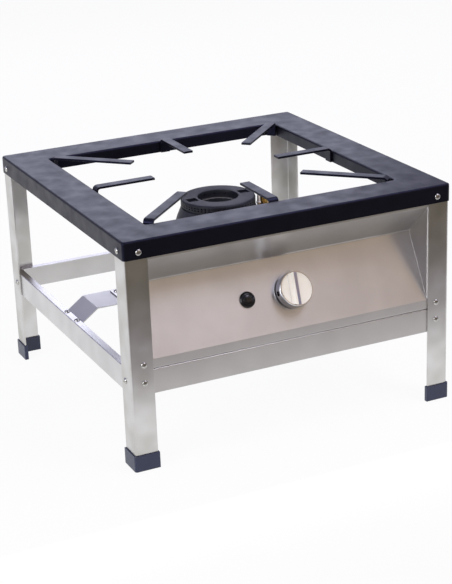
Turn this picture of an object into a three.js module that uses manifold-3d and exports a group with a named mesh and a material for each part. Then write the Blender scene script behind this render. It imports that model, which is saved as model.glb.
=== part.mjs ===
// Gas stock pot range: a low square stand with an enamelled pot frame, one ring burner
// on a bridge and a recessed control panel. Millimetres, +Z up, front at -Y,
// origin on the floor under the middle of the frame.
import * as THREE from 'three';
import { mergeVertices } from 'three/addons/utils/BufferGeometryUtils.js';
import Module from 'manifold-3d';

const wasm = await Module();
wasm.setup();

// ---- driving dimensions -------------------------------------------------------------

// clearances
const seatGap = 0.3;              // between pieces that rest on or against each other
const boreClearance = 0.3;        // radial play of a pin, tube or spindle in its hole
const slideClearance = 0.4;       // radial play of the pieces that move

// top frame
const frameWidth = 600;           // left to right
const frameDepth = 590;           // front to back
const frameHeight = 395;          // floor to the top face
const frameSheet = 1.5;
const frameFace = 69;             // width of the flat top face
const outerFlange = 31;
const innerFlange = 21.5;
const frameBend = 2;              // outside radius of the folded edges
const frameCorner = 6;            // radius of the four upright corners
const frameInnerCorner = 2;

// pot supports: flat bars bent at the root
const supportWidth = 18;
const supportThickness = 4;
const supportBend = 8;
const supportRise = 5;            // how far the arms stand above the frame
const sideArm = 110;
const cornerArm = 156;

// legs and feet
const legFlange = 40;
const legSheet = 2.5;
const legBend = 4;
const legTopGap = 2;              // under the frame's top face
const footHeight = 28;
const footWall = 2;
const footFloor = 3;

// rails between the legs
const railHeight = 42;
const railBottom = 131;
const railSheet = 1.5;
const railFlange = 13;
const railBend = 2.5;
const railMitreGap = 1;

// control panel
const panelSheet = 1.5;
const panelSeam = 1;              // dark gap between the panel's lip and the front rail
const panelLip = 16.5;
const panelReturn = 11;           // fold behind the lip
const panelTab = 24;              // the part behind the frame's front flange
const recessDepth = 60;
const recessRise = 110.5;         // lip to crease
const recessTopDrop = 5;          // top of the recess below the frame's flange
const panelEndGap = 2;            // panel's ends to the side rails' webs

// burner bridge and injector bracket
const bridgeWidth = 72;
const bridgeSheet = 2;
const bridgeTop = 193;
const bridgeSlope = 30;           // horizontal run of each sloping end
const bridgeTab = 10;             // hidden under the side rail's flange
const bracketWidth = 56;
const bracketFoot = 34;
const bracketSheet = 2;
const bracketReach = 206;         // outer edge from the middle of the range
const bracketRise = 26;           // above the injector's axis

// burner
const burnerOffset = 2.5;         // burner's axis right of the middle
const capOuterRadius = 67;
const capTopRadius = 63;          // edge of the flat top
const capHoleRadius = 36.5;
const capTopHeight = 345;
const capShoulder = 4;            // drop of the rounded rim
const capSkirt = 9.5;             // straight part under the rounded rim
const capWall = 4.5;
const capCrown = 4;               // thickness of the flat top
const capPocketLength = 20;       // finger pockets for lifting the hot cap off
const capPocketWidth = 16;
const capPocketDepth = 8;
const capPocketRadius = 50.5;     // middle of each pocket
const capPocketWall = 2.5;
const portRadius = 1.3;
const portsPerRow = 40;
const upperPorts = 2.2;           // rows of ports below the top of the skirt
const lowerPorts = 6.4;
const bodyNeck = 3;               // dark groove under the cap
const bodyNeckInset = 2.5;
const flareRadius = 82;
const flareHeight = 40.5;
const flareShoulder = 75.5;       // radius half-way down the flare
const bowlDepth = 32;
const bowlWall = 4;
const bowlBottomRadius = 62;
const boreRadius = 31;            // open middle of the body
const mixingTubeRadius = 22;
const mixingTubeBore = 16;
const mixingTubeReach = 150;      // mouth from the middle
const mixingMouthRadius = 25;
const mixingMouthLength = 16;     // straight collar that carries the air shutter
const riserOffset = 55;
const burnerFootWidth = 16;
const shutterLength = 22;
const shutterWall = 2;
const injectorGap = 16;           // jet to the mixing tube's mouth
const injectorRadius = 9;
const injectorLength = 34;
const injectorLug = 14;           // jet to the lug that holds it
const jetRadius = 5;
const jetLength = 9;

// controls
const knobOffset = 11;            // right of the middle
const knobRadius = 31;
const knobFaceRadius = 29;
const knobHeight = 24;            // face above the panel
const knobBackGap = 3.8;
const knobTravel = 3;
const knobWall = 2;
const knobGripWidth = 17;
const knobGripRise = 3.5;
const knobPocket = 1.2;           // depth of the two D-shaped faces
const knobRim = 1.6;
const knobPointer = 3;
const spindleRadius = 3;
const spindleHolePlay = 2.3;      // the panel's hole is larger than the spindle
const sleeveRadius = 5.4;
const sleeveLength = 18;
const valveRadius = 16;
const valveLength = 46;
const valveNeckRadius = 9;
const valveNeck = 8;
const igniterOffset = -72;
const igniterBezelRadius = 14;
const igniterBezel = 3.2;
const igniterBarrel = 10.5;
const igniterDepth = 30;
const igniterNut = 5;
const buttonRadius = 8.6;
const buttonRise = 6.5;
const buttonTravel = 4;

// gas pipes
const inletRadius = 9;
const inletWall = 2;
const inletOffset = 200;
const inletHeight = 112;
const inletReach = 2.4;           // beyond the frame's back face
const inletNutRadius = 14;
const inletNutLength = 10;
const inletBend = 26;
const clipSheet = 2;
const clipWidth = 44;
const clipBelow = 16;             // clip's lower edge below the pipe's axis
const feedRadius = 4.5;
const pilotPipeRadius = 2.5;
const leadRadius = 1.5;
const cableRadius = 2.2;
const pipeBend = 18;

// pilot group at the burner's right front
const pilotAngle = THREE.MathUtils.degToRad(-15);
const pilotRing = 80;
const pilotStagger = 3.5;         // electrode nearer, thermocouple further out
const pilotShelfDrop = 27;        // below the cap's top
const pilotSheet = 2;
const pilotShelfWidth = 52;
const pilotLugWidth = 12;
const pilotLugHeight = 6;
const pilotLugReach = 14;
const pilotBurnerRadius = 4.5;
const pilotBurnerHeight = 20;
const thermocoupleRadius = 3;
const thermocoupleHeight = 21;
const ceramicRadius = 3.2;
const ceramicHeight = 17;
const electrodeTip = 6;
const pilotSpread = 14;           // spacing of the three along the shelf

// ---- sizes worked out from the driving dimensions -----------------------------------

const halfWidth = frameWidth / 2;
const halfDepth = frameDepth / 2;
const flangeBottom = frameHeight - outerFlange;
const legInset = frameSheet + seatGap;
const legX = halfWidth - legInset;               // outer faces of the legs
const legY = halfDepth - legInset;
const legTop = frameHeight - frameSheet - legTopGap;
const railX = legX - legSheet - seatGap;         // outer faces of the rails
const railY = legY - legSheet - seatGap;
const railTop = railBottom + railHeight;
const panelY = -railY;                           // panel's front face is in line with the rail
const lipBottom = railTop + panelSeam;
const lipTop = lipBottom + panelLip;
const creaseHeight = lipTop + recessRise;
const recessTop = flangeBottom - recessTopDrop;
const recessHalf = legX - legFlange - seatGap;   // the recess lies between the legs
const panelHalf = railX - railSheet - panelEndGap;
const slopeTilt = Math.atan2(recessDepth, recessRise);
const supportTop = frameHeight + supportRise;
const skirtTop = capTopHeight - capShoulder;
const skirtBottom = skirtTop - capSkirt;
const bodySeat = skirtBottom - seatGap;
const flareTop = bodySeat - bodyNeck;
const flareBottom = flareTop - flareHeight;
const bowlBottom = flareBottom - bowlDepth;
const shoulderHeight = flareTop - flareHeight * 0.5;
const mixingAxis = bowlBottom - mixingTubeRadius + bowlWall;
const injectorX = -(mixingTubeReach + injectorGap);
const pilotShelf = capTopHeight - pilotShelfDrop;

// ---- helpers ------------------------------------------------------------------------

const range = new THREE.Group();

const finishes = {
  enamel: new THREE.MeshStandardMaterial({ color: 0x3a3c46, roughness: 0.55, metalness: 0.1 }),
  stainless: new THREE.MeshStandardMaterial({ color: 0xb9babd, roughness: 0.35, metalness: 1 }),
  castIron: new THREE.MeshStandardMaterial({ color: 0x36383f, roughness: 0.7, metalness: 0.4 }),
  plastic: new THREE.MeshStandardMaterial({ color: 0x262a3a, roughness: 0.5, metalness: 0 }),
  chrome: new THREE.MeshStandardMaterial({ color: 0xe6e4dc, roughness: 0.15, metalness: 1 }),
  brass: new THREE.MeshStandardMaterial({ color: 0xb08d4a, roughness: 0.35, metalness: 1 }),
  ceramic: new THREE.MeshStandardMaterial({ color: 0xf2efe6, roughness: 0.3, metalness: 0 }),
  aluminium: new THREE.MeshStandardMaterial({ color: 0xa8aaad, roughness: 0.4, metalness: 1 }),
  rubber: new THREE.MeshStandardMaterial({ color: 0x1b1b1d, roughness: 0.8, metalness: 0 }),
};

function addPiece(name, geometry, finish, parent = range) {
  const mesh = new THREE.Mesh(geometry, finishes[finish]);
  mesh.name = name;
  parent.add(mesh);
  return mesh;
}

// A closed solid from a three.js geometry, for cutting and joining.
function solidOf(geometry) {
  const bare = geometry.clone();
  bare.deleteAttribute('normal');
  bare.deleteAttribute('uv');
  const merged = mergeVertices(bare, 1e-4);
  return new wasm.Manifold(new wasm.Mesh({
    numProp: 3,
    vertProperties: Float32Array.from(merged.attributes.position.array),
    triVerts: Uint32Array.from(merged.index.array),
  }));
}

function geometryOf(solid) {
  const mesh = solid.getMesh();
  const geometry = new THREE.BufferGeometry();
  const corners = new Float32Array(mesh.numVert * 3);
  for (let i = 0; i < mesh.numVert; i += 1) {
    for (let k = 0; k < 3; k += 1) corners[i * 3 + k] = mesh.vertProperties[i * mesh.numProp + k];
  }
  geometry.setAttribute('position', new THREE.BufferAttribute(corners, 3));
  geometry.setIndex(new THREE.BufferAttribute(Uint32Array.from(mesh.triVerts), 1));
  return geometry;
}

function box(x0, x1, y0, y1, z0, z1) {
  const geometry = new THREE.BoxGeometry(x1 - x0, y1 - y0, z1 - z0);
  geometry.translate((x0 + x1) / 2, (y0 + y1) / 2, (z0 + z1) / 2);
  return geometry;
}

// A turned piece about +Z from [radius, z] points, listed from the lower end up the outside.
function turned(points, segments = 32) {
  return new THREE.LatheGeometry(points.map(([r, z]) => new THREE.Vector2(r, z)), segments)
    .rotateX(Math.PI / 2);
}

function rod(radius, z0, z1, segments = 24) {
  return turned([[0, z0], [radius, z0], [radius, z1], [0, z1]], segments);
}

// A flat outline in X and Z, extruded along Y between y0 and y1.
function alongY(shape, y0, y1, curveSegments = 4) {
  const geometry = new THREE.ExtrudeGeometry(shape, {
    depth: y1 - y0, bevelEnabled: false, curveSegments,
  });
  geometry.rotateX(Math.PI / 2);
  geometry.translate(0, y1, 0);
  return geometry;
}

// The closed outline of a folded sheet: the line of its face, and the same line set back.
function sheetShape(line, thickness) {
  const face = line.map(([x, y]) => new THREE.Vector2(x, y));
  const normals = [];
  for (let i = 0; i + 1 < face.length; i += 1) {
    const run = face[i + 1].clone().sub(face[i]).normalize();
    normals.push(new THREE.Vector2(-run.y, run.x));
  }
  const back = face.map((point, i) => {
    const before = normals[Math.max(i - 1, 0)];
    const after = normals[Math.min(i, normals.length - 1)];
    const middle = before.clone().add(after).normalize();
    return point.clone().addScaledVector(middle, thickness / middle.dot(after));
  });
  return new THREE.Shape([...face, ...back.reverse()]);
}

// A pipe's route: straight runs with round bends between the corners.
class PipeRoute extends THREE.Curve {
  constructor(corners, bend, stepsPerBend = 4) {
    super();
    const points = corners.map((corner) => new THREE.Vector3(...corner));
    this.stations = [points[0]];
    for (let i = 1; i + 1 < points.length; i += 1) {
      const inward = points[i - 1].clone().sub(points[i]);
      const outward = points[i + 1].clone().sub(points[i]);
      const turn = Math.PI - inward.angleTo(outward);
      const reach = Math.min(bend * Math.tan(turn / 2), inward.length() / 2, outward.length() / 2);
      const start = points[i].clone().addScaledVector(inward.normalize(), reach);
      const end = points[i].clone().addScaledVector(outward.normalize(), reach);
      const arc = new THREE.QuadraticBezierCurve3(start, points[i], end);
      this.stations.push(...arc.getPoints(stepsPerBend));
    }
    this.stations.push(points[points.length - 1]);
    this.steps = this.stations.length - 1;
  }

  getPoint(t) {
    return this.stations[Math.round(t * this.steps)].clone();
  }

  getPointAt(u) {
    return this.getPoint(u);
  }

  getTangentAt(u) {
    const i = Math.round(u * this.steps);
    const before = this.stations[Math.max(i - 1, 0)];
    const after = this.stations[Math.min(i + 1, this.steps)];
    if (i === 0 || i === this.steps) return after.clone().sub(before).normalize();
    const here = this.stations[i];
    return here.clone().sub(before).normalize().add(after.clone().sub(here).normalize()).normalize();
  }
}

function circle(radius, sides) {
  const points = [];
  for (let i = 0; i < sides; i += 1) {
    const angle = (i / sides) * 2 * Math.PI;
    points.push(new THREE.Vector2(radius * Math.cos(angle), radius * Math.sin(angle)));
  }
  return points;
}

function pipe(corners, radius, bend, sides = 8, bore = 0) {
  const route = new PipeRoute(corners, bend);
  const section = new THREE.Shape(circle(radius, sides));
  if (bore > 0) section.holes.push(new THREE.Path(circle(bore, sides).reverse()));
  return new THREE.ExtrudeGeometry(section, {
    steps: route.steps, bevelEnabled: false, extrudePath: route,
  });
}

// ---- top frame ----------------------------------------------------------------------

// Corner points of a rounded rectangle, the same number at every inset.
function roundedLoop(inset, height) {
  const radius = Math.max(frameCorner - inset, frameInnerCorner);
  const centreX = halfWidth - inset - radius;
  const centreY = halfDepth - inset - radius;
  const loop = [];
  const stepsPerCorner = 4;
  for (let corner = 0; corner < 4; corner += 1) {
    const signX = corner === 0 || corner === 3 ? 1 : -1;
    const signY = corner < 2 ? 1 : -1;
    for (let i = 0; i <= stepsPerCorner; i += 1) {
      const angle = (corner + i / stepsPerCorner) * (Math.PI / 2);
      loop.push([
        signX * centreX + radius * Math.cos(angle),
        signY * centreY + radius * Math.sin(angle),
        height,
      ]);
    }
  }
  return loop;
}

function topFrame() {
  const profile = new THREE.Path();
  const top = frameHeight;
  const inner = frameBend - frameSheet;
  const face = frameFace;
  profile.moveTo(0, flangeBottom);
  profile.lineTo(0, top - frameBend);
  profile.absarc(frameBend, top - frameBend, frameBend, Math.PI, Math.PI / 2, true);
  profile.lineTo(face - frameBend, top);
  profile.absarc(face - frameBend, top - frameBend, frameBend, Math.PI / 2, 0, true);
  profile.lineTo(face, top - innerFlange);
  profile.lineTo(face - frameSheet, top - innerFlange);
  profile.lineTo(face - frameSheet, top - frameBend);
  profile.absarc(face - frameBend, top - frameBend, inner, 0, Math.PI / 2, false);
  profile.lineTo(frameBend, top - frameSheet);
  profile.absarc(frameBend, top - frameBend, inner, Math.PI / 2, Math.PI, false);
  profile.lineTo(frameSheet, flangeBottom);
  const section = profile.getPoints(2);
  const loops = section.map((point) => roundedLoop(point.x, point.y));
  const around = loops[0].length;
  const position = loops.flat(2);
  const index = [];
  for (let i = 0; i < loops.length; i += 1) {
    const here = i * around;
    const next = ((i + 1) % loops.length) * around;
    for (let k = 0; k < around; k += 1) {
      const after = (k + 1) % around;
      index.push(here + k, here + after, next + after, here + k, next + after, next + k);
    }
  }
  const geometry = new THREE.BufferGeometry();
  geometry.setAttribute('position', new THREE.BufferAttribute(new Float32Array(position), 3));
  geometry.setIndex(index);
  return geometry;
}

addPiece('top_frame', topFrame(), 'enamel');

// ---- pot supports -------------------------------------------------------------------

function supportGeometry(arm) {
  const bottom = frameHeight - innerFlange;
  const shape = new THREE.Shape();
  shape.moveTo(0, bottom);
  shape.lineTo(supportThickness, bottom);
  shape.lineTo(supportThickness, supportTop - supportBend);
  const inside = supportBend - supportThickness;
  shape.absarc(supportBend, supportTop - supportBend, inside, Math.PI, Math.PI / 2, true);
  shape.lineTo(arm, supportTop - supportThickness);
  shape.lineTo(arm, supportTop);
  shape.lineTo(supportBend, supportTop);
  shape.absarc(supportBend, supportTop - supportBend, supportBend, Math.PI / 2, Math.PI, false);
  return alongY(shape, -supportWidth / 2, supportWidth / 2, 5);
}

function addSupport(name, arm, x, y, angle) {
  const support = addPiece(name, supportGeometry(arm), 'enamel');
  support.position.set(x, y, 0);
  support.rotation.z = angle;
}

const openingX = halfWidth - frameFace;          // inner faces of the frame's inner flange
const openingY = halfDepth - frameFace;
const cornerStep = supportWidth / 2 / Math.SQRT2 + seatGap;

addSupport('pot_support_left', sideArm, -openingX + seatGap, 0, 0);
addSupport('pot_support_right', sideArm, openingX - seatGap, 0, Math.PI);
addSupport('pot_support_front', sideArm, 0, -openingY + seatGap, Math.PI / 2);
addSupport('pot_support_back', sideArm, 0, openingY - seatGap, -Math.PI / 2);
for (const [name, signX, signY] of [
  ['front_left', -1, -1], ['front_right', 1, -1], ['back_right', 1, 1], ['back_left', -1, 1],
]) {
  const x = signX * (openingX - cornerStep);
  const y = signY * (openingY - cornerStep);
  addSupport(`pot_support_${name}`, cornerArm, x, y, Math.atan2(-signY, -signX));
}

// ---- legs and feet ------------------------------------------------------------------

// An L outline with its outer corner at the origin and its flanges along +X and +Y.
function angleShape(flange, sheet, bend, grow = 0) {
  const low = -grow;
  const high = flange + grow;
  const inner = sheet + grow;
  const inside = Math.max(bend - sheet - 2 * grow, 0.4);
  const shape = new THREE.Shape();
  shape.moveTo(low + bend, low);
  shape.lineTo(high, low);
  shape.lineTo(high, inner);
  shape.lineTo(inner + inside, inner);
  shape.absarc(inner + inside, inner + inside, inside, -Math.PI / 2, -Math.PI, true);
  shape.lineTo(inner, high);
  shape.lineTo(low, high);
  shape.lineTo(low, low + bend);
  shape.absarc(low + bend, low + bend, bend, Math.PI, 1.5 * Math.PI, false);
  return shape;
}

function upright(shape, z0, z1) {
  const geometry = new THREE.ExtrudeGeometry(shape, {
    depth: z1 - z0, bevelEnabled: false, curveSegments: 4,
  });
  geometry.translate(0, 0, z0);
  return geometry;
}

function footGeometry() {
  const sleeve = upright(angleShape(legFlange, legSheet, legBend, footWall + seatGap), 0, footHeight);
  const socket = upright(angleShape(legFlange, legSheet, legBend, seatGap), footFloor, footHeight + 1);
  return geometryOf(solidOf(sleeve).subtract(solidOf(socket)));
}

const corners = [
  { name: 'front_left', x: -legX, y: -legY },
  { name: 'front_right', x: legX, y: -legY },
  { name: 'back_right', x: legX, y: legY },
  { name: 'back_left', x: -legX, y: legY },
];
corners.forEach(({ name, x, y }, turn) => {
  const section = angleShape(legFlange, legSheet, legBend);
  const leg = addPiece(`leg_${name}`, upright(section, footFloor + seatGap, legTop), 'stainless');
  const foot = addPiece(`foot_${name}`, footGeometry(), 'plastic');
  for (const piece of [leg, foot]) {
    piece.position.set(x, y, 0);
    piece.rotation.z = (turn * Math.PI) / 2;
  }
});

// ---- rails --------------------------------------------------------------------------

// A folded angle along X: web facing -Y at y = 0, flange inwards at the top, ends mitred.
function railGeometry(length) {
  const profile = new THREE.Shape();
  profile.moveTo(0, railBottom);
  profile.lineTo(railSheet, railBottom);
  profile.lineTo(railSheet, railTop - railBend);
  profile.absarc(railBend, railTop - railBend, railBend - railSheet, Math.PI, Math.PI / 2, true);
  profile.lineTo(railFlange, railTop - railSheet);
  profile.lineTo(railFlange, railTop);
  profile.lineTo(railBend, railTop);
  profile.absarc(railBend, railTop - railBend, railBend, Math.PI / 2, Math.PI, false);
  const bar = alongY(profile, -length / 2, length / 2);
  bar.rotateZ(-Math.PI / 2);
  bar.scale(1, -1, 1);
  flipFaces(bar);
  let rail = solidOf(bar);
  const tip = length / 2 - railMitreGap * Math.SQRT2;
  for (const sign of [-1, 1]) {
    const waste = new THREE.Shape([
      new THREE.Vector2(sign * (tip + 1), -1), new THREE.Vector2(sign * (tip + railFlange + 4), -1),
      new THREE.Vector2(sign * (tip + railFlange + 4), railFlange + 1),
      new THREE.Vector2(sign * (tip - railFlange - 1), railFlange + 1),
    ]);
    rail = rail.subtract(solidOf(upright(waste, railBottom - 1, railTop + 1)));
  }
  return geometryOf(rail);
}

function flipFaces(geometry) {
  const { position } = geometry.attributes;
  for (let i = 0; i < position.count; i += 3) {
    for (let k = 0; k < 3; k += 1) {
      const kept = position.getComponent(i + 1, k);
      position.setComponent(i + 1, k, position.getComponent(i + 2, k));
      position.setComponent(i + 2, k, kept);
    }
  }
  return geometry;
}

const rails = [
  { name: 'front', length: railX * 2, x: 0, y: -railY },
  { name: 'right', length: railY * 2, x: railX, y: 0 },
  { name: 'back', length: railX * 2, x: 0, y: railY },
  { name: 'left', length: railY * 2, x: -railX, y: 0 },
];
rails.forEach(({ name, length, x, y }, turn) => {
  const rail = addPiece(`rail_${name}`, railGeometry(length), 'stainless');
  rail.position.set(x, y, 0);
  rail.rotation.z = (turn * Math.PI) / 2;
});

// ---- control panel ------------------------------------------------------------------

// The controls share a frame on the sloping face: X along it, Y up it, Z out of it.
const controls = new THREE.Group();
controls.position.set(0, panelY + recessDepth / 2, (lipTop + creaseHeight) / 2);
controls.rotation.x = Math.PI / 2 - slopeTilt;
range.add(controls);
controls.updateMatrixWorld(true);

function onPanel(x, up, out) {
  return controls.localToWorld(new THREE.Vector3(x, up, out));
}

function onPanelList(x, up, out) {
  return onPanel(x, up, out).toArray();
}

function panelGeometry() {
  const crease = panelY + recessDepth;
  const cheek = recessHalf;
  const outer = recessHalf + panelSheet;
  // the V of the recess, drawn in Y and Z
  const fold = sheetShape([
    [panelY, recessTop], [crease, creaseHeight], [panelY, lipTop],
  ], panelSheet);
  const recess = upright(fold, -outer, outer);
  recess.rotateX(Math.PI / 2);
  recess.rotateZ(Math.PI / 2);
  let panel = solidOf(recess);
  // the triangular ends of the recess
  const side = new THREE.Shape([
    new THREE.Vector2(panelY, lipTop), new THREE.Vector2(crease, creaseHeight),
    new THREE.Vector2(panelY, recessTop),
  ]);
  for (const start of [-outer, cheek]) {
    const plate = upright(side, start, start + panelSheet);
    plate.rotateX(Math.PI / 2);
    plate.rotateZ(Math.PI / 2);
    panel = panel.add(solidOf(plate));
  }
  const back = panelY + panelSheet;
  const tabTop = flangeBottom + panelTab;
  const plates = [
    box(-panelHalf, panelHalf, panelY, back, recessTop, tabTop),
    box(-panelHalf, panelHalf, panelY, back, lipBottom, lipTop),
    box(-panelHalf, panelHalf, panelY, panelY + panelReturn, lipBottom, lipBottom + panelSheet),
    box(cheek, panelHalf, panelY, back, lipTop, recessTop),
    box(-panelHalf, -cheek, panelY, back, lipTop, recessTop),
  ];
  for (const plate of plates) panel = panel.add(solidOf(plate));
  for (const [x, radius] of [
    [knobOffset, spindleRadius + spindleHolePlay], [igniterOffset, igniterBarrel + boreClearance],
  ]) {
    const drill = rod(radius, -panelSheet * 3, panelSheet * 3, 24);
    drill.rotateX(controls.rotation.x);
    drill.translate(...onPanelList(x, 0, 0));
    panel = panel.subtract(solidOf(drill));
  }
  return geometryOf(panel);
}

addPiece('control_panel', panelGeometry(), 'stainless');

// ---- burner bridge and injector bracket ---------------------------------------------

function bridgeGeometry() {
  const tabTop = railTop - railSheet - seatGap;
  const slopeStart = railX - railFlange - seatGap;
  const slopeEnd = slopeStart - bridgeSlope;
  const tabEnd = slopeStart + bridgeTab;
  const strap = sheetShape([
    [tabEnd, tabTop], [slopeStart, tabTop], [slopeEnd, bridgeTop],
    [-slopeEnd, bridgeTop], [-slopeStart, tabTop], [-tabEnd, tabTop],
  ], bridgeSheet);
  return alongY(strap, -bridgeWidth / 2, bridgeWidth / 2);
}

addPiece('burner_bridge', bridgeGeometry(), 'stainless');

const bracketBase = bridgeTop + seatGap;
const lugX = injectorX - injectorLug;

function bracketGeometry() {
  const foot = box(
    -bracketReach, -bracketReach + bracketFoot, -bracketWidth / 2, bracketWidth / 2,
    bracketBase, bracketBase + bracketSheet,
  );
  const lugWidth = bracketWidth * 0.7;
  const lugTop = mixingAxis + bracketRise - injectorRadius;
  const lug = box(lugX - bracketSheet, lugX, -lugWidth / 2, lugWidth / 2, bracketBase, lugTop);
  const arm = box(
    -bracketReach + bracketFoot - 1, lugX, -lugWidth / 2, lugWidth / 2,
    bracketBase, bracketBase + bracketSheet,
  );
  const hole = rod(injectorRadius * 0.75 + boreClearance, -bracketSheet * 2, bracketSheet * 2, 20);
  hole.rotateY(Math.PI / 2);
  hole.translate(lugX, 0, mixingAxis);
  return geometryOf(solidOf(foot).add(solidOf(lug)).add(solidOf(arm)).subtract(solidOf(hole)));
}

// The burner, its pilot group and its injector share a frame on the burner's axis.
const burnerParts = new THREE.Group();
burnerParts.position.x = burnerOffset;
range.add(burnerParts);
burnerParts.updateMatrixWorld(true);

addPiece('injector_bracket', bracketGeometry(), 'stainless', burnerParts);

// ---- burner -------------------------------------------------------------------------

function burnerBodyGeometry() {
  const seatOuter = capTopRadius - 1;
  const neck = capOuterRadius - bodyNeckInset;
  const innerSeat = capHoleRadius + capWall;
  const outside = turned([
    [0, bowlBottom], [bowlBottomRadius, bowlBottom], [flareRadius - 6, flareBottom - bowlDepth * 0.55],
    [flareRadius, flareBottom - 7], [flareRadius, flareBottom], [flareShoulder, shoulderHeight],
    [capOuterRadius, flareTop], [neck, flareTop], [neck, bodySeat], [0, bodySeat],
  ], 32);
  const chamber = turned([
    [boreRadius + bowlWall, bowlBottom + bowlWall],
    [bowlBottomRadius - bowlWall, bowlBottom + bowlWall],
    [flareRadius - 6 - bowlWall, flareBottom - bowlDepth * 0.5], [flareRadius - bowlWall, flareBottom],
    [flareShoulder - bowlWall, shoulderHeight],
    [seatOuter - bowlWall, flareTop], [seatOuter - bowlWall, bodySeat + 1],
    [innerSeat - 1, bodySeat + 1], [boreRadius + bowlWall, flareTop - 4],
    [boreRadius + bowlWall, bowlBottom + bowlWall],
  ], 32);
  const tube = turned([
    [0, riserOffset], [mixingTubeRadius, riserOffset],
    [mixingTubeRadius, mixingTubeReach - mixingMouthLength - 4],
    [mixingMouthRadius, mixingTubeReach - mixingMouthLength],
    [mixingMouthRadius, mixingTubeReach], [0, mixingTubeReach],
  ], 24);
  tube.rotateY(-Math.PI / 2);
  tube.translate(0, 0, mixingAxis);
  const riser = rod(mixingTubeRadius, mixingAxis - mixingTubeRadius, bowlBottom + bowlWall, 24);
  riser.translate(-riserOffset, 0, 0);
  const tubeBore = turned([
    [0, riserOffset], [mixingTubeBore, riserOffset],
    [mixingTubeBore, mixingTubeReach - mixingMouthLength],
    [mixingMouthRadius - 3, mixingTubeReach + 0.1], [0, mixingTubeReach + 0.1],
  ], 24);
  tubeBore.rotateY(-Math.PI / 2);
  tubeBore.translate(0, 0, mixingAxis);
  const riserBore = rod(mixingTubeBore, mixingAxis - mixingTubeBore, bowlBottom + bowlWall + 2, 24);
  riserBore.translate(-riserOffset, 0, 0);
  const footTop = bowlBottom + 1;
  const footY = bridgeWidth / 2 - burnerFootWidth;
  const half = burnerFootWidth / 2;
  let body = solidOf(outside)
    .add(solidOf(tube))
    .add(solidOf(riser))
    .add(solidOf(box(-riserOffset - half, -riserOffset + half, -half, half, bracketBase, mixingAxis)));
  for (const sign of [-1, 1]) {
    body = body.add(solidOf(box(
      riserOffset - 15 - half, riserOffset - 15 + half, sign * footY - half, sign * footY + half,
      bracketBase, footTop,
    )));
  }
  body = body.add(solidOf(pilotLug()));
  body = body.subtract(solidOf(chamber)).subtract(solidOf(tubeBore)).subtract(solidOf(riserBore));
  body = body.subtract(solidOf(rod(boreRadius, bowlBottom - 1, bodySeat + 1, 32)));
  return geometryOf(body);
}

// A cast lug under the pilot group.
function pilotLug() {
  const top = pilotLugTop;
  const lug = box(
    flareRadius - 8, flareRadius + pilotLugReach, -pilotLugWidth / 2, pilotLugWidth / 2,
    top - pilotLugHeight, top,
  );
  lug.rotateZ(pilotAngle);
  return lug;
}

const pilotLugTop = flareBottom - 1;

addPiece('burner_body', burnerBodyGeometry(), 'castIron', burnerParts);

function burnerCapGeometry() {
  const inner = capHoleRadius + capWall;
  const outer = capOuterRadius - capWall;
  const under = capTopHeight - capCrown;
  const rim = capOuterRadius - capTopRadius;
  const shell = turned([
    [capHoleRadius, skirtBottom], [inner, skirtBottom], [inner, under], [outer, under],
    [outer, skirtBottom], [capOuterRadius, skirtBottom], [capOuterRadius, skirtTop],
    [capTopRadius + rim * 0.75, skirtTop + capShoulder * 0.55],
    [capTopRadius + rim * 0.35, skirtTop + capShoulder * 0.88], [capTopRadius, capTopHeight],
    [capHoleRadius + 1, capTopHeight], [capHoleRadius, capTopHeight - 1], [capHoleRadius, skirtBottom],
  ], portsPerRow);
  let cap = solidOf(shell);
  const half = capPocketLength / 2;
  const side = capPocketWidth / 2;
  const floor = capTopHeight - capPocketDepth;
  for (const sign of [-1, 1]) {
    const middle = sign * capPocketRadius;
    cap = cap.add(solidOf(box(
      middle - half - 0.7, middle + half + 0.7, -side - capPocketWall, side + capPocketWall,
      floor - capPocketWall, under + 1,
    )));
    cap = cap.subtract(solidOf(box(
      middle - half + 1, middle + half - 1, -side, side, floor, capTopHeight + 1,
    )));
  }
  // the upper and lower ports of one facet lie above each other
  const facet = (2 * Math.PI) / portsPerRow;
  const ports = [];
  for (let i = 0; i < portsPerRow; i += 1) {
    for (const drop of [upperPorts, lowerPorts]) {
      const port = rod(portRadius, outer - 2, capOuterRadius + 2, 5);
      port.rotateY(Math.PI / 2);
      port.translate(0, 0, skirtTop - drop);
      port.rotateZ((i + 0.5) * facet);
      ports.push(solidOf(port));
    }
  }
  return geometryOf(cap.subtract(wasm.Manifold.union(ports)));
}

addPiece('burner_cap', burnerCapGeometry(), 'castIron', burnerParts);

// ---- air shutter and injector -------------------------------------------------------

function shutterGeometry() {
  const inner = mixingMouthRadius + slideClearance;
  const outer = inner + shutterWall;
  const sleeve = turned([
    [inner, 0], [outer, 0], [outer, shutterLength], [inner, shutterLength], [inner, 0],
  ], 24);
  sleeve.rotateY(-Math.PI / 2);
  sleeve.translate(-mixingTubeReach + shutterLength - 1, 0, mixingAxis);
  return sleeve;
}

addPiece('air_shutter', shutterGeometry(), 'aluminium', burnerParts);

function injectorGeometry() {
  const waist = injectorRadius * 0.75;
  const lugHalf = bracketSheet + seatGap;
  const middle = injectorLug;
  const body = turned([
    [0, 0], [jetRadius * 0.6, 0], [jetRadius, 1.5], [jetRadius, jetLength],
    [injectorRadius, jetLength], [injectorRadius, middle - seatGap],
    [waist, middle - seatGap], [waist, middle + lugHalf], [injectorRadius, middle + lugHalf],
    [injectorRadius, injectorLength], [0, injectorLength],
  ], 20);
  body.rotateY(-Math.PI / 2);
  body.translate(injectorX, 0, mixingAxis);
  const port = rod(feedRadius + 2.5, 0, injectorRadius + 6, 16);
  port.rotateX(Math.PI / 2);
  port.translate(feedX, 0, mixingAxis);
  return geometryOf(solidOf(body).add(solidOf(port)));
}

const feedX = injectorX - injectorLength + feedRadius + 3.5;

addPiece('injector', injectorGeometry(), 'brass', burnerParts);

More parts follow.
